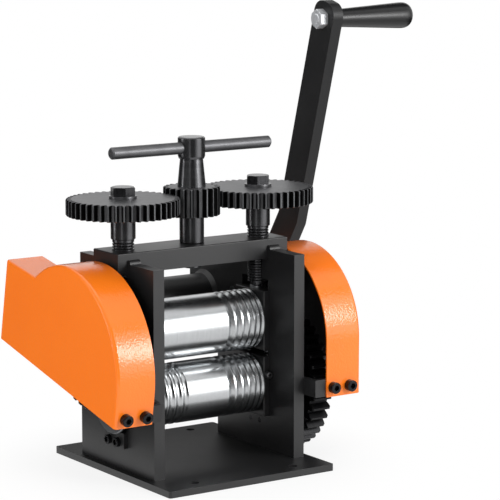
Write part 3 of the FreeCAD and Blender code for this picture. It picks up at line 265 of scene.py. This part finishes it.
def black_flag(name, place, width, height, lies_flat=False):
    """A black card that faces the machine, or lies flat, and shows only in reflections."""
    deselect()
    turn = (AIM - Vector(place)).to_track_quat("Z", "Y").to_euler()
    if lies_flat:
        turn = (0, 0, 0)
    bpy.ops.mesh.primitive_plane_add(size=1, location=place, rotation=turn)
    flag = bpy.context.object
    flag.name = name
    flag.scale = (width, height, 1)
    flag.data.materials.append(FELT)
    flag.visible_camera = False
    flag.visible_diffuse = False
    flag.visible_transmission = False
    flag.visible_shadow = False
    print(name, "at", place)


black_flag("rear_left_flag", (-0.24, 0.44, 0.23), 0.52, 0.48)
black_flag("left_flag", (-0.49, -0.10, 0.26), 0.56, 0.58)
black_flag("camera_flag", (-0.17, -0.47, 0.26), 0.44, 0.58)
black_flag("right_flag", (0.50, -0.03, 0.12), 0.52, 0.26)
black_flag("rear_low_flag", (0.27, 0.42, 0.10), 0.56, 0.21)
black_flag("table_flag", (-0.33, 0.20, floor.location.z + 0.2 * MM), 0.42, 0.56, True)
black_flag("overhead_flag", (0.72, 0.36, 1.10), 0.95, 0.62)
black_flag("softbox_hood", (0.80, -1.12, 1.26), 1.00, 0.13)
deselect()

# %% [markdown]
# ## A surface to start from
#
# Every finish below begins in the same way: a Principled shader, and the object's own
# coordinates in metres. Object coordinates don't slide when a part moves, and they give
# each grain its true size.

# %% Surface starter
def new_surface(name, settings):
    """A material with a Principled shader, and its object coordinates."""
    material = bpy.data.materials.new(name)
    material.use_nodes = True
    tree = material.node_tree
    tree.nodes.clear()
    shader = add(tree, "ShaderNodeBsdfPrincipled", settings)
    add(tree, "ShaderNodeOutputMaterial", {}, {"Surface": shader.outputs[0]})
    coords = add(tree, "ShaderNodeTexCoord").outputs["Object"]
    return material, tree, shader, coords


# %% [markdown]
# ## Black satin enamel
#
# The frame's plates are mild steel under sprayed satin enamel. Sprayed paint dries with
# a faint orange peel, here waves about 1.4 mm across and a few hundredths of a
# millimetre deep. Its gloss drifts over the plate, as spray does, over a few
# centimetres. It is a dielectric, so metallic is 0 and the IOR is a paint's 1.5.

# %% Enamel
def satin_enamel(name, gloss_level):
    material, tree, shader, coords = new_surface(
        name, {"IOR": 1.5, "Specular IOR Level": gloss_level})
    drift = add(tree, "ShaderNodeTexNoise", {"Scale": per(38), "Detail": 3.0},
                {"Vector": coords})
    colour = add(tree, "ShaderNodeValToRGB", {}, {0: drift.outputs["Fac"]})
    colour.color_ramp.elements[0].color = linear("#151516")
    colour.color_ramp.elements[1].color = linear("#1f1f20")
    gloss = add(tree, "ShaderNodeMapRange", {"To Min": 0.34, "To Max": 0.46},
                {"Value": drift.outputs["Fac"]})
    peel = add(tree, "ShaderNodeTexNoise", {"Scale": per(1.4), "Detail": 2.0},
               {"Vector": coords})
    bump = add(tree, "ShaderNodeBump", {"Strength": 0.5, "Distance": 0.06 * MM},
               {"Height": peel.outputs["Fac"]})
    tree.links.new(colour.outputs[0], shader.inputs["Base Color"])
    tree.links.new(gloss.outputs[0], shader.inputs["Roughness"])
    tree.links.new(bump.outputs[0], shader.inputs["Normal"])
    return material


# %% [markdown]
# ## Orange powder coat
#
# The covers are pressed steel under powder coat, which melts in an oven into a thick,
# glossy skin. Its orange peel is a little coarser than paint's, about 1.5 mm and deeper,
# and a clear gloss lies over the colour, so the shader gets a coat layer. Both peels are
# drawn coarser than the real ones, so that they show at all.

# %% Powder coat
def powder_coat():
    material, tree, shader, coords = new_surface(
        "orange_powder_coat", {"IOR": 1.5, "Roughness": 0.45, "Coat Weight": 0.9,
                               "Specular IOR Level": 0.2, "Coat Roughness": 0.10})
    drift = add(tree, "ShaderNodeTexNoise", {"Scale": per(60), "Detail": 2.0},
                {"Vector": coords})
    colour = add(tree, "ShaderNodeValToRGB", {}, {0: drift.outputs["Fac"]})
    colour.color_ramp.elements[0].color = linear("#fb760f")
    colour.color_ramp.elements[1].color = linear("#ff8016")
    peel = add(tree, "ShaderNodeTexNoise", {"Scale": per(1.5), "Detail": 1.5},
               {"Vector": coords})
    bump = add(tree, "ShaderNodeBump", {"Strength": 0.9, "Distance": 0.2 * MM},
               {"Height": peel.outputs["Fac"]})
    tree.links.new(colour.outputs[0], shader.inputs["Base Color"])
    tree.links.new(bump.outputs[0], shader.inputs["Normal"])
    tree.links.new(bump.outputs[0], shader.inputs["Coat Normal"])
    return material


# %% Painted shade inside the covers
def inside_shade_paint():
    """Dull dark speckled paint for the covers' inner faces: painted shade for the shade
    inside the hoods.
    """
    material, tree, shader, coords = new_surface("painted_inside_shade", {"Roughness": 0.72})
    speckle = add(tree, "ShaderNodeTexNoise", {"Scale": per(0.9), "Detail": 4.0},
                  {"Vector": coords})
    colour = add(tree, "ShaderNodeValToRGB", {}, {0: speckle.outputs["Fac"]})
    colour.color_ramp.elements[0].color = linear("#141314")
    colour.color_ramp.elements[1].color = linear("#242122")
    tree.links.new(colour.outputs[0], shader.inputs["Base Color"])
    return material


# %% [markdown]
# ## Blackened steel
#
# Gears and screws are cut from bar, blackened in hot salts and oiled. The finish is
# thin, so the steel's turning marks still show as fine rings about the part's own axis,
# half a millimetre apart here so that they can be seen. A gear tooth's tip gets a plain
# lighter colour: a painted highlight for the thin line of light along it.

# %% Blackened steel
# painted highlight: a plain lighter colour on gear tooth tips
TIP_HIGHLIGHT = "#606163"
RING_MM = 0.5           # real turning marks are finer


def turned_radius(tree, coords, centre, axis):
    """Distance of a point from the line through centre along axis, in metres."""
    place = add(tree, "ShaderNodeMapping",
                {"Location": [-c for c in centre]}, {"Vector": coords})
    across = [0.0 if name == axis else 1.0 for name in "xyz"]
    flat = add(tree, "ShaderNodeVectorMath", {"operation": "MULTIPLY", 1: across},
               {0: place.outputs[0]})
    return add(tree, "ShaderNodeVectorMath", {"operation": "LENGTH"},
               {0: flat.outputs[0]}).outputs["Value"]


def blackened_steel(name, centre, axis, tip_r_mm, dark="#4a4a4c", light="#8a8a8c",
                    rough=(0.34, 0.52)):
    """Blackened steel turned about one axis; tip_r_mm is where the tips' painted highlight
    starts.
    """
    material, tree, shader, coords = new_surface(name, {"Metallic": 0.85})
    radius = turned_radius(tree, coords, centre, axis)
    rings = add(tree, "ShaderNodeTexNoise",
                {"noise_dimensions": "1D", "Scale": per(RING_MM), "Detail": 2.0},
                {"W": radius})
    blotch = add(tree, "ShaderNodeTexNoise", {"Scale": per(9), "Detail": 4.0},
                 {"Vector": coords})
    tone = add(tree, "ShaderNodeMath", {"operation": "MULTIPLY"},
               {0: rings.outputs["Fac"], 1: blotch.outputs["Fac"]})
    body = add(tree, "ShaderNodeValToRGB", {}, {0: tone.outputs[0]})
    body.color_ramp.elements[0].color = linear(dark)
    body.color_ramp.elements[1].color = linear(light)
    tip = add(tree, "ShaderNodeMath", {"operation": "GREATER_THAN", 1: tip_r_mm * MM},
              {0: radius})
    colour = add(tree, "ShaderNodeMix", {"data_type": "RGBA", 7: linear(TIP_HIGHLIGHT)},
                 {0: tip.outputs[0], 6: body.outputs[0]})
    gloss = add(tree, "ShaderNodeMapRange", {"To Min": rough[0], "To Max": rough[1]},
                {"Value": rings.outputs["Fac"]})
    bump = add(tree, "ShaderNodeBump", {"Strength": 0.35, "Distance": 0.02 * MM},
               {"Height": rings.outputs["Fac"]})
    tree.links.new(colour.outputs[2], shader.inputs["Base Color"])
    tree.links.new(gloss.outputs[0], shader.inputs["Roughness"])
    tree.links.new(bump.outputs[0], shader.inputs["Normal"])
    return material


# %% [markdown]
# ## Ground and polished roll steel
#
# The rolls are hardened tool steel, ground between centres and polished. Grinding
# leaves hair lines round the roll: a pattern that changes only along X. It is metal, so
# its colour is its reflection, and it needs dark things to reflect as much as light.

# %% Roll steel
LINE_STRETCH = 6.0      # low, so a line hardly changes on its way round


def steel_along_x(name, hex_dark, hex_light, rough_low, rough_high, line_mm, depth_mm):
    """Bright steel with hair lines that run round a part turned about X."""
    material, tree, shader, coords = new_surface(name, {"Metallic": 1.0})
    stretch = add(tree, "ShaderNodeMapping",
                  {"Scale": (per(line_mm), LINE_STRETCH, LINE_STRETCH)},
                  {"Vector": coords})
    lines = add(tree, "ShaderNodeTexNoise", {"Scale": 1.0, "Detail": 3.0},
                {"Vector": stretch.outputs[0]})
    colour = add(tree, "ShaderNodeValToRGB", {}, {0: lines.outputs["Fac"]})
    colour.color_ramp.elements[0].color = linear(hex_dark)
    colour.color_ramp.elements[1].color = linear(hex_light)
    gloss = add(tree, "ShaderNodeMapRange", {"To Min": rough_low, "To Max": rough_high},
                {"Value": lines.outputs["Fac"]})
    bump = add(tree, "ShaderNodeBump", {"Strength": 0.3, "Distance": depth_mm * MM},
               {"Height": lines.outputs["Fac"]})
    tree.links.new(colour.outputs[0], shader.inputs["Base Color"])
    tree.links.new(gloss.outputs[0], shader.inputs["Roughness"])
    tree.links.new(bump.outputs[0], shader.inputs["Normal"])
    return material


# %% [markdown]
# ## Zinc plate, bronze and moulded plastic
#
# The crank's bolt, washer and nut are zinc, with the cloudy grain of a plated surface.
# Its passivation is a thin pale film over the metal, so the shader is metallic in part
# and not a mirror. The bushes are sintered bronze. The grip is moulded plastic with a
# fine spark texture from its mould, about 0.4 mm, and is glossier than the enamel.

# %% Small materials
def plated_zinc():
    material, tree, shader, coords = new_surface("bright_zinc_plate", {"Metallic": 0.65})
    cloud = add(tree, "ShaderNodeTexNoise", {"Scale": per(3), "Detail": 5.0},
                {"Vector": coords})
    colour = add(tree, "ShaderNodeValToRGB", {}, {0: cloud.outputs["Fac"]})
    colour.color_ramp.elements[0].color = linear("#c2c5c8")
    colour.color_ramp.elements[1].color = linear("#e6e7ea")
    gloss = add(tree, "ShaderNodeMapRange", {"To Min": 0.34, "To Max": 0.48},
                {"Value": cloud.outputs["Fac"]})
    tree.links.new(colour.outputs[0], shader.inputs["Base Color"])
    tree.links.new(gloss.outputs[0], shader.inputs["Roughness"])
    return material


def sintered_bronze():
    material, tree, shader, coords = new_surface(
        "sintered_bronze", {"Metallic": 1.0, "Roughness": 0.42})
    pores = add(tree, "ShaderNodeTexNoise", {"Scale": per(0.6), "Detail": 3.0},
                {"Vector": coords})
    colour = add(tree, "ShaderNodeValToRGB", {}, {0: pores.outputs["Fac"]})
    colour.color_ramp.elements[0].color = linear("#7d6236")
    colour.color_ramp.elements[1].color = linear("#b5935a")
    bump = add(tree, "ShaderNodeBump", {"Strength": 0.4, "Distance": 0.03 * MM},
               {"Height": pores.outputs["Fac"]})
    tree.links.new(colour.outputs[0], shader.inputs["Base Color"])
    tree.links.new(bump.outputs[0], shader.inputs["Normal"])
    return material


def moulded_plastic():
    material, tree, shader, coords = new_surface("moulded_black_plastic", {"IOR": 1.46})
    spark = add(tree, "ShaderNodeTexNoise", {"Scale": per(0.4), "Detail": 2.0},
                {"Vector": coords})
    colour = add(tree, "ShaderNodeValToRGB", {}, {0: spark.outputs["Fac"]})
    colour.color_ramp.elements[0].color = linear("#0e0e0f")
    colour.color_ramp.elements[1].color = linear("#171718")
    gloss = add(tree, "ShaderNodeMapRange", {"To Min": 0.24, "To Max": 0.33},
                {"Value": spark.outputs["Fac"]})
    bump = add(tree, "ShaderNodeBump", {"Strength": 0.35, "Distance": 0.02 * MM},
               {"Height": spark.outputs["Fac"]})
    tree.links.new(colour.outputs[0], shader.inputs["Base Color"])
    tree.links.new(gloss.outputs[0], shader.inputs["Roughness"])
    tree.links.new(bump.outputs[0], shader.inputs["Normal"])
    return material


# %% [markdown]
# ## Broken edges
#
# No machined or sheared edge is perfectly sharp: it is filed, worn or rounded by paint,
# and that thin radius is what catches light along a plate's rim. A CAD solid has sharp
# edges and flat triangles. So each node is copied, its triangles are welded together,
# flat faces are joined into one, and a Bevel modifier rounds every corner. Smooth
# shading would make the big faces beside a rounded edge look bent, so a Weighted Normal
# modifier lets the big faces decide the normals and leaves the turn to the thin edge.
# The copy then stands for the node, which keeps its place and size.

# %% Broken edges
SAME_POINT = 0.002 * MM
FLAT_WITHIN = math.radians(0.6)
CORNER_FROM = math.radians(38)
SMOOTH_UP_TO = math.radians(34)
BODY_OF = {node: body for body, nodes in frame["record"]["behaviour"]["bodies"].items()
           for node in nodes}


def dressed(node, material, radius_mm):
    """A copy of a node with its edges rounded to a radius, or only smoothed at 0."""
    source = frame["nodes"][node]
    mesh = source.data.copy()
    piece = bpy.data.objects.new(node + "_dressed", mesh)
    bpy.context.scene.collection.objects.link(piece)
    deselect()
    piece.select_set(True)
    bpy.context.view_layer.objects.active = piece
    if mesh.has_custom_normals:
        bpy.ops.mesh.customdata_custom_splitnormals_clear()
    bpy.ops.object.mode_set(mode="EDIT")
    bpy.ops.mesh.select_all(action="SELECT")
    bpy.ops.mesh.remove_doubles(threshold=SAME_POINT)
    bpy.ops.mesh.dissolve_limited(angle_limit=FLAT_WITHIN)
    bpy.ops.object.mode_set(mode="OBJECT")
    if radius_mm > 0:
        bevel = piece.modifiers.new("broken_edge", "BEVEL")
        bevel.width = radius_mm * MM
        bevel.segments = 2
        bevel.limit_method = "ANGLE"
        bevel.angle_limit = CORNER_FROM
        bpy.ops.object.modifier_apply(modifier=bevel.name)
    bpy.ops.object.shade_smooth_by_angle(angle=SMOOTH_UP_TO)
    flat = piece.modifiers.new("flat_stays_flat", "WEIGHTED_NORMAL")
    flat.keep_sharp = True
    bpy.ops.object.modifier_apply(modifier=flat.name)
    mesh = piece.data
    mesh.materials.clear()
    mesh.materials.append(material)
    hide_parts(node)
    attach(piece, BODY_OF[node])
    return piece


# %% [markdown]
# ## The frame
#
# The frame is sawn and milled steel plate, deburred with a file and then sprayed. Each
# plate could be modelled as a box with a Bevel modifier, but these have windows, notches
# and bolt holes that must fit their neighbours, so the CAD shapes are kept and only
# dressed. Thick plates get a wider radius than small brackets, as a file gives them. The
# crank arm is sprayed on its own and comes out a little duller.

# %% Frame pieces
ENAMEL = satin_enamel("black_satin_enamel", 0.56)
for node, radius_mm in {
        "base_plate": 0.6, "left_cheek": 0.6, "right_cheek": 0.6, "crossbar": 0.4,
        "shaft_tube": 0.3, "frame_welds": 0, "right_lower_block": 0.4,
        "left_lower_block": 0.4, "right_upper_block": 0.4, "left_upper_block": 0.4,
        "lower_keepers": 0.4, "left_cover_brackets": 0.4,
        "right_cover_brackets": 0.4}.items():
    dressed(node, ENAMEL, radius_mm)
dressed("crank_arm", satin_enamel("duller_crank_enamel", 0.36), 0.6)
print("frame pieces share the material", ENAMEL.name)

# %% [markdown]
# ## The covers
#
# Each cover is a sheet-steel hood: a flat side, a rim bent and welded round it, and an
# open side towards the gears. The inside of the hood lies in shade, so its faces get a
# dull
# dark speckled paint: painted shade. One mesh can hold both finishes: the faces that look
# inwards are found by their normals and given the second material slot.

# %% Covers
COAT = powder_coat()
# painted shade: dull dark paint on the covers' inner faces
INSIDE_SHADE = inside_shade_paint()
FACES_SIDEWAYS = 0.7    # share of a unit normal along X
FACES_OUTWARD = 0.5     # a rim's normal has less than this along X
NEAR_SIDE = 3 * MM


def shade_inside(cover):
    """Give the cover's inner faces the painted shade; the open side of a cover looks at x
    = 0.
    """
    mesh = cover.data
    mesh.materials.append(INSIDE_SHADE)
    xs = [v.co.x for v in mesh.vertices]
    middle_x = (min(xs) + max(xs)) / 2
    inward = -1 if middle_x > 0 else 1
    outer_x = max(xs, key=abs)
    y = sum(v.co.y for v in mesh.vertices) / len(xs)
    z = sum(v.co.z for v in mesh.vertices) / len(xs)
    for face in mesh.polygons:
        normal, centre = face.normal, face.center
        back_of_side = (normal.x * inward > FACES_SIDEWAYS
                        and abs(centre.x - outer_x) < NEAR_SIDE)
        back_of_rim = (abs(normal.x) < FACES_OUTWARD
                       and normal.y * (y - centre.y) + normal.z * (z - centre.z) > 0)
        if back_of_side or back_of_rim:
            face.material_index = 1
    print(cover.name, sum(f.material_index for f in mesh.polygons), "faces in painted shade")


for node in ("left_cover", "right_cover"):
    shade_inside(dressed(node, COAT, 0.25))

# %% [markdown]
# ## Rolls and bright steel
#
# The two rolls are the machine's bright heart. Their wire grooves are cut in CAD, since
# upper and lower must meet, so the mesh only needs a hair of radius at each land. The
# shaft, keys and pads are left as machined, duller than the ground rolls, and the flat
# collar on the lower roll's left end is the dullest, a sawn disc with broad lines.

# %% Rolls
ROLL_STEEL = steel_along_x("ground_roll_steel", "#b4b6b8", "#cfd1d2",
                           0.20, 0.28, 0.30, 0.002)
MACHINED = steel_along_x("machined_steel", "#8d8f91", "#bcbdbf",
                         0.22, 0.36, 0.5, 0.01)
for node in ("lower_roll", "upper_roll"):
    dressed(node, ROLL_STEEL, 0.12)
COLLAR_STEEL = steel_along_x("sawn_collar_steel", "#6c6e70", "#8e9092",
                             0.34, 0.46, 0.8, 0.01)
dressed("lower_roll_collar", COLLAR_STEEL, 0)
for node in ("drive_shaft", "idler_stud", "thrust_pads",
             "lower_roll_key", "upper_roll_key", "pinion_keys"):
    dressed(node, MACHINED, 0)
print("bright steel:", ROLL_STEEL.name, COLLAR_STEEL.name, MACHINED.name)

# %% [markdown]
# ## Lift springs
#
# Four coil springs push the upper roll up when the gap is opened, and are pressed
# together when it is closed. A rigid copy would poke through its block. Here the springs
# are dressed and given a mesh of their own, and they don't flatten as the gap joint moves.

# %% Springs
springs = dressed("lift_springs", MACHINED, 0)
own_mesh(springs)

# %% [markdown]
# ## Gears
#
# A gear starts as a turned disc, and a cutter then mills its teeth. Its faces get turned
# rings, and its tips a plain lighter colour, a painted highlight. The flanks between the
# teeth are painted darker: painted shade between the teeth. Each gear gets its own rings,
# centred on its own axis. The face normals tell which sides of a tooth are milled.

# %% Gears
GEAR_EDGE = 0.22                # mm
NO_TIP = 400.0                  # mm, beyond any part, so nothing is bright
FLANK_SIDEWAYS = 0.5            # a flank's normal has less than this along the axis
ADJUST_GEAR = (37.3, 40.9)      # radii in mm: root of the teeth, start of the tips
ADJUST_PINION = (17.2, 20.8)
DRIVE_PINION = (18.0, 22.3)
# painted shade: darker flanks between gear teeth
FLANK_SHADE = blackened_steel("painted_flank_shade", (0, 0, 0), "z", NO_TIP, "#111112", "#2a2a2c",
                        (0.22, 0.34))


def middle(node):
    low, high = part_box(node)
    return (low + high) / 2


def toothed(node, axis, root_r_mm, tip_r_mm):
    """A gear with turned faces, tips in a painted highlight, and flanks in painted shade.
    """
    centre = middle(node)
    steel = blackened_steel("turned_" + node, centre, axis, tip_r_mm)
    gear = dressed(node, steel, GEAR_EDGE)
    gear.data.materials.append(FLANK_SHADE)
    along = "xyz".index(axis)
    for face in gear.data.polygons:
        out = face.center - centre
        out[along] = 0
        if (abs(face.normal[along]) < FLANK_SIDEWAYS
                and root_r_mm * MM < out.length < tip_r_mm * MM):
            face.material_index = 1
    print(node, sum(face.material_index for face in gear.data.polygons), "milled faces")


for side in ("left", "right"):
    toothed(side + "_adjusting_gear", "z", *ADJUST_GEAR)
    toothed(side + "_drive_pinion", "x", *DRIVE_PINION)
toothed("adjuster_pinion", "z", *ADJUST_PINION)
toothed("idler_gear", "x", *DRIVE_PINION)

# %% [markdown]
# ## Roll gears, screws and the T-bar
#
# The roll gears sit inside the covers and are painted the deepest black: painted shade
# for the dark inside the hoods. The adjusting screws and the spindle are oiled and wiped,
# which makes them glossy: each shows two upright lines of light. The T-bar is a drawn rod
# that hands keep rubbing, so its black has worn to a lighter gunmetal.

# %% Roll gears, screws and T-bar
# painted shade: the deepest black of the roll gears inside the covers
COVER_SHADE_BLACK = ("#19191a", "#3c3c3e")
OILED = ("#434345", "#7a7a7c", (0.18, 0.30))
BOLT = ("#303032", "#585859", (0.18, 0.30))
WASHER = ("#58585a", "#929294", (0.24, 0.36))
GUNMETAL = ("#58585a", "#868688")


def blackened(node, axis, radius_mm, tones):
    """A turned part with its own rings about its own axis."""
    steel = blackened_steel("blackened_" + node, middle(node), axis, NO_TIP, *tones)
    return dressed(node, steel, radius_mm)


for side in ("left", "right"):
    blackened(side + "_adjusting_screw", "z", 0, OILED)
    blackened(side + "_gear_washer", "z", 0.2, WASHER)
    blackened(side + "_gear_bolt", "z", 0.25, BOLT)
blackened("adjuster_spindle", "z", 0.2, OILED)
blackened("adjuster_bar", "x", 0, GUNMETAL)
blackened("lower_roll_gear", "x", GEAR_EDGE, COVER_SHADE_BLACK)
blackened("upper_roll_gear", "x", GEAR_EDGE, COVER_SHADE_BLACK)

SCREW_BLACK = blackened_steel("blackened_screws", (0, 0, 0), "z", NO_TIP, "#1c1c1e",
                              "#464648", (0.20, 0.32))
LOCK_SCREW = blackened_steel("bright_lock_screws", (0, 0, 0), "x", NO_TIP, *WASHER)
dressed("lower_block_screws", LOCK_SCREW, 0.1)
for node in ("cover_screws", "keeper_screws", "base_screws", "set_screws",
             "lower_roll_circlips", "upper_roll_circlips", "spindle_circlip"):
    dressed(node, SCREW_BLACK, 0.1)
print("black small parts done")

# %% [markdown]
# ## Fasteners and bushes
#
# Bought parts are brighter than made ones. The crank's bolt, washer and nut are zinc
# plated, so they are the only light metal outside the rolls. The bushes are pressed in
# and hardly seen, but bronze shows at their edges where a shaft passes through.

# %% Small parts
ZINC = plated_zinc()
for node in ("crank_bolt", "crank_washer", "grip_stud", "grip_nut"):
    dressed(node, ZINC, 0.15)
BRONZE = sintered_bronze()
for node in ("shaft_bushes", "lower_bushes", "upper_bushes", "idler_bush"):
    dressed(node, BRONZE, 0)
print("fasteners:", ZINC.name, "bushes:", BRONZE.name)

# %% [markdown]
# ## The grip
#
# The grip is a moulded handle: slimmest at the crank, swelling towards a rounded end.
# It is one ring of points, extruded along the stud and resized at each station, as a
# potter pulls a wall, and its ends are closed. Subdivision then smooths it. Each station
# is a place along the grip and a radius, in millimetres.

# %% Grip
GRIP_STATIONS = [
    (0.0, 5.6), (0.3, 6.3), (1.2, 6.75), (4.0, 6.9), (30.0, 8.3), (58.0, 9.85),
    (63.2, 10.1), (66.6, 9.7), (68.9, 8.1), (70.1, 5.6), (70.5, 2.6)]
GRIP_RING = 32

grip_low, grip_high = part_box("crank_grip")
grip_y = (grip_low.y + grip_high.y) / 2
grip_z = (grip_low.z + grip_high.z) / 2
deselect()
bpy.ops.mesh.primitive_circle_add(
    vertices=GRIP_RING, radius=GRIP_STATIONS[0][1] * MM, fill_type="NGON",
    location=(grip_low.x, grip_y, grip_z), rotation=(0, math.radians(90), 0))
grip = bpy.context.object
grip.name = "moulded_grip"
bpy.ops.object.mode_set(mode="EDIT")
bpy.ops.mesh.select_all(action="SELECT")
for (place, radius), (next_place, next_radius) in zip(GRIP_STATIONS, GRIP_STATIONS[1:]):
    bpy.ops.mesh.extrude_region_move(
        TRANSFORM_OT_translate={"value": ((next_place - place) * MM, 0, 0)})
    share = next_radius / radius
    bpy.ops.transform.resize(
        value=(1, share, share),
        center_override=(grip_low.x + next_place * MM, grip_y, grip_z))
bpy.ops.mesh.select_all(action="SELECT")
bpy.ops.mesh.normals_make_consistent(inside=False)
bpy.ops.object.mode_set(mode="OBJECT")
smooth = grip.modifiers.new("smooth", "SUBSURF")
smooth.levels = smooth.render_levels = 2
bpy.ops.object.modifier_apply(modifier=smooth.name)
bpy.ops.object.transform_apply(location=True, rotation=True, scale=True)
bpy.ops.object.shade_smooth()
grip.data.materials.append(moulded_plastic())
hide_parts("crank_grip")
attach(grip, "grip")
print("grip:", len(GRIP_STATIONS), "stations,", len(grip.data.polygons), "faces")
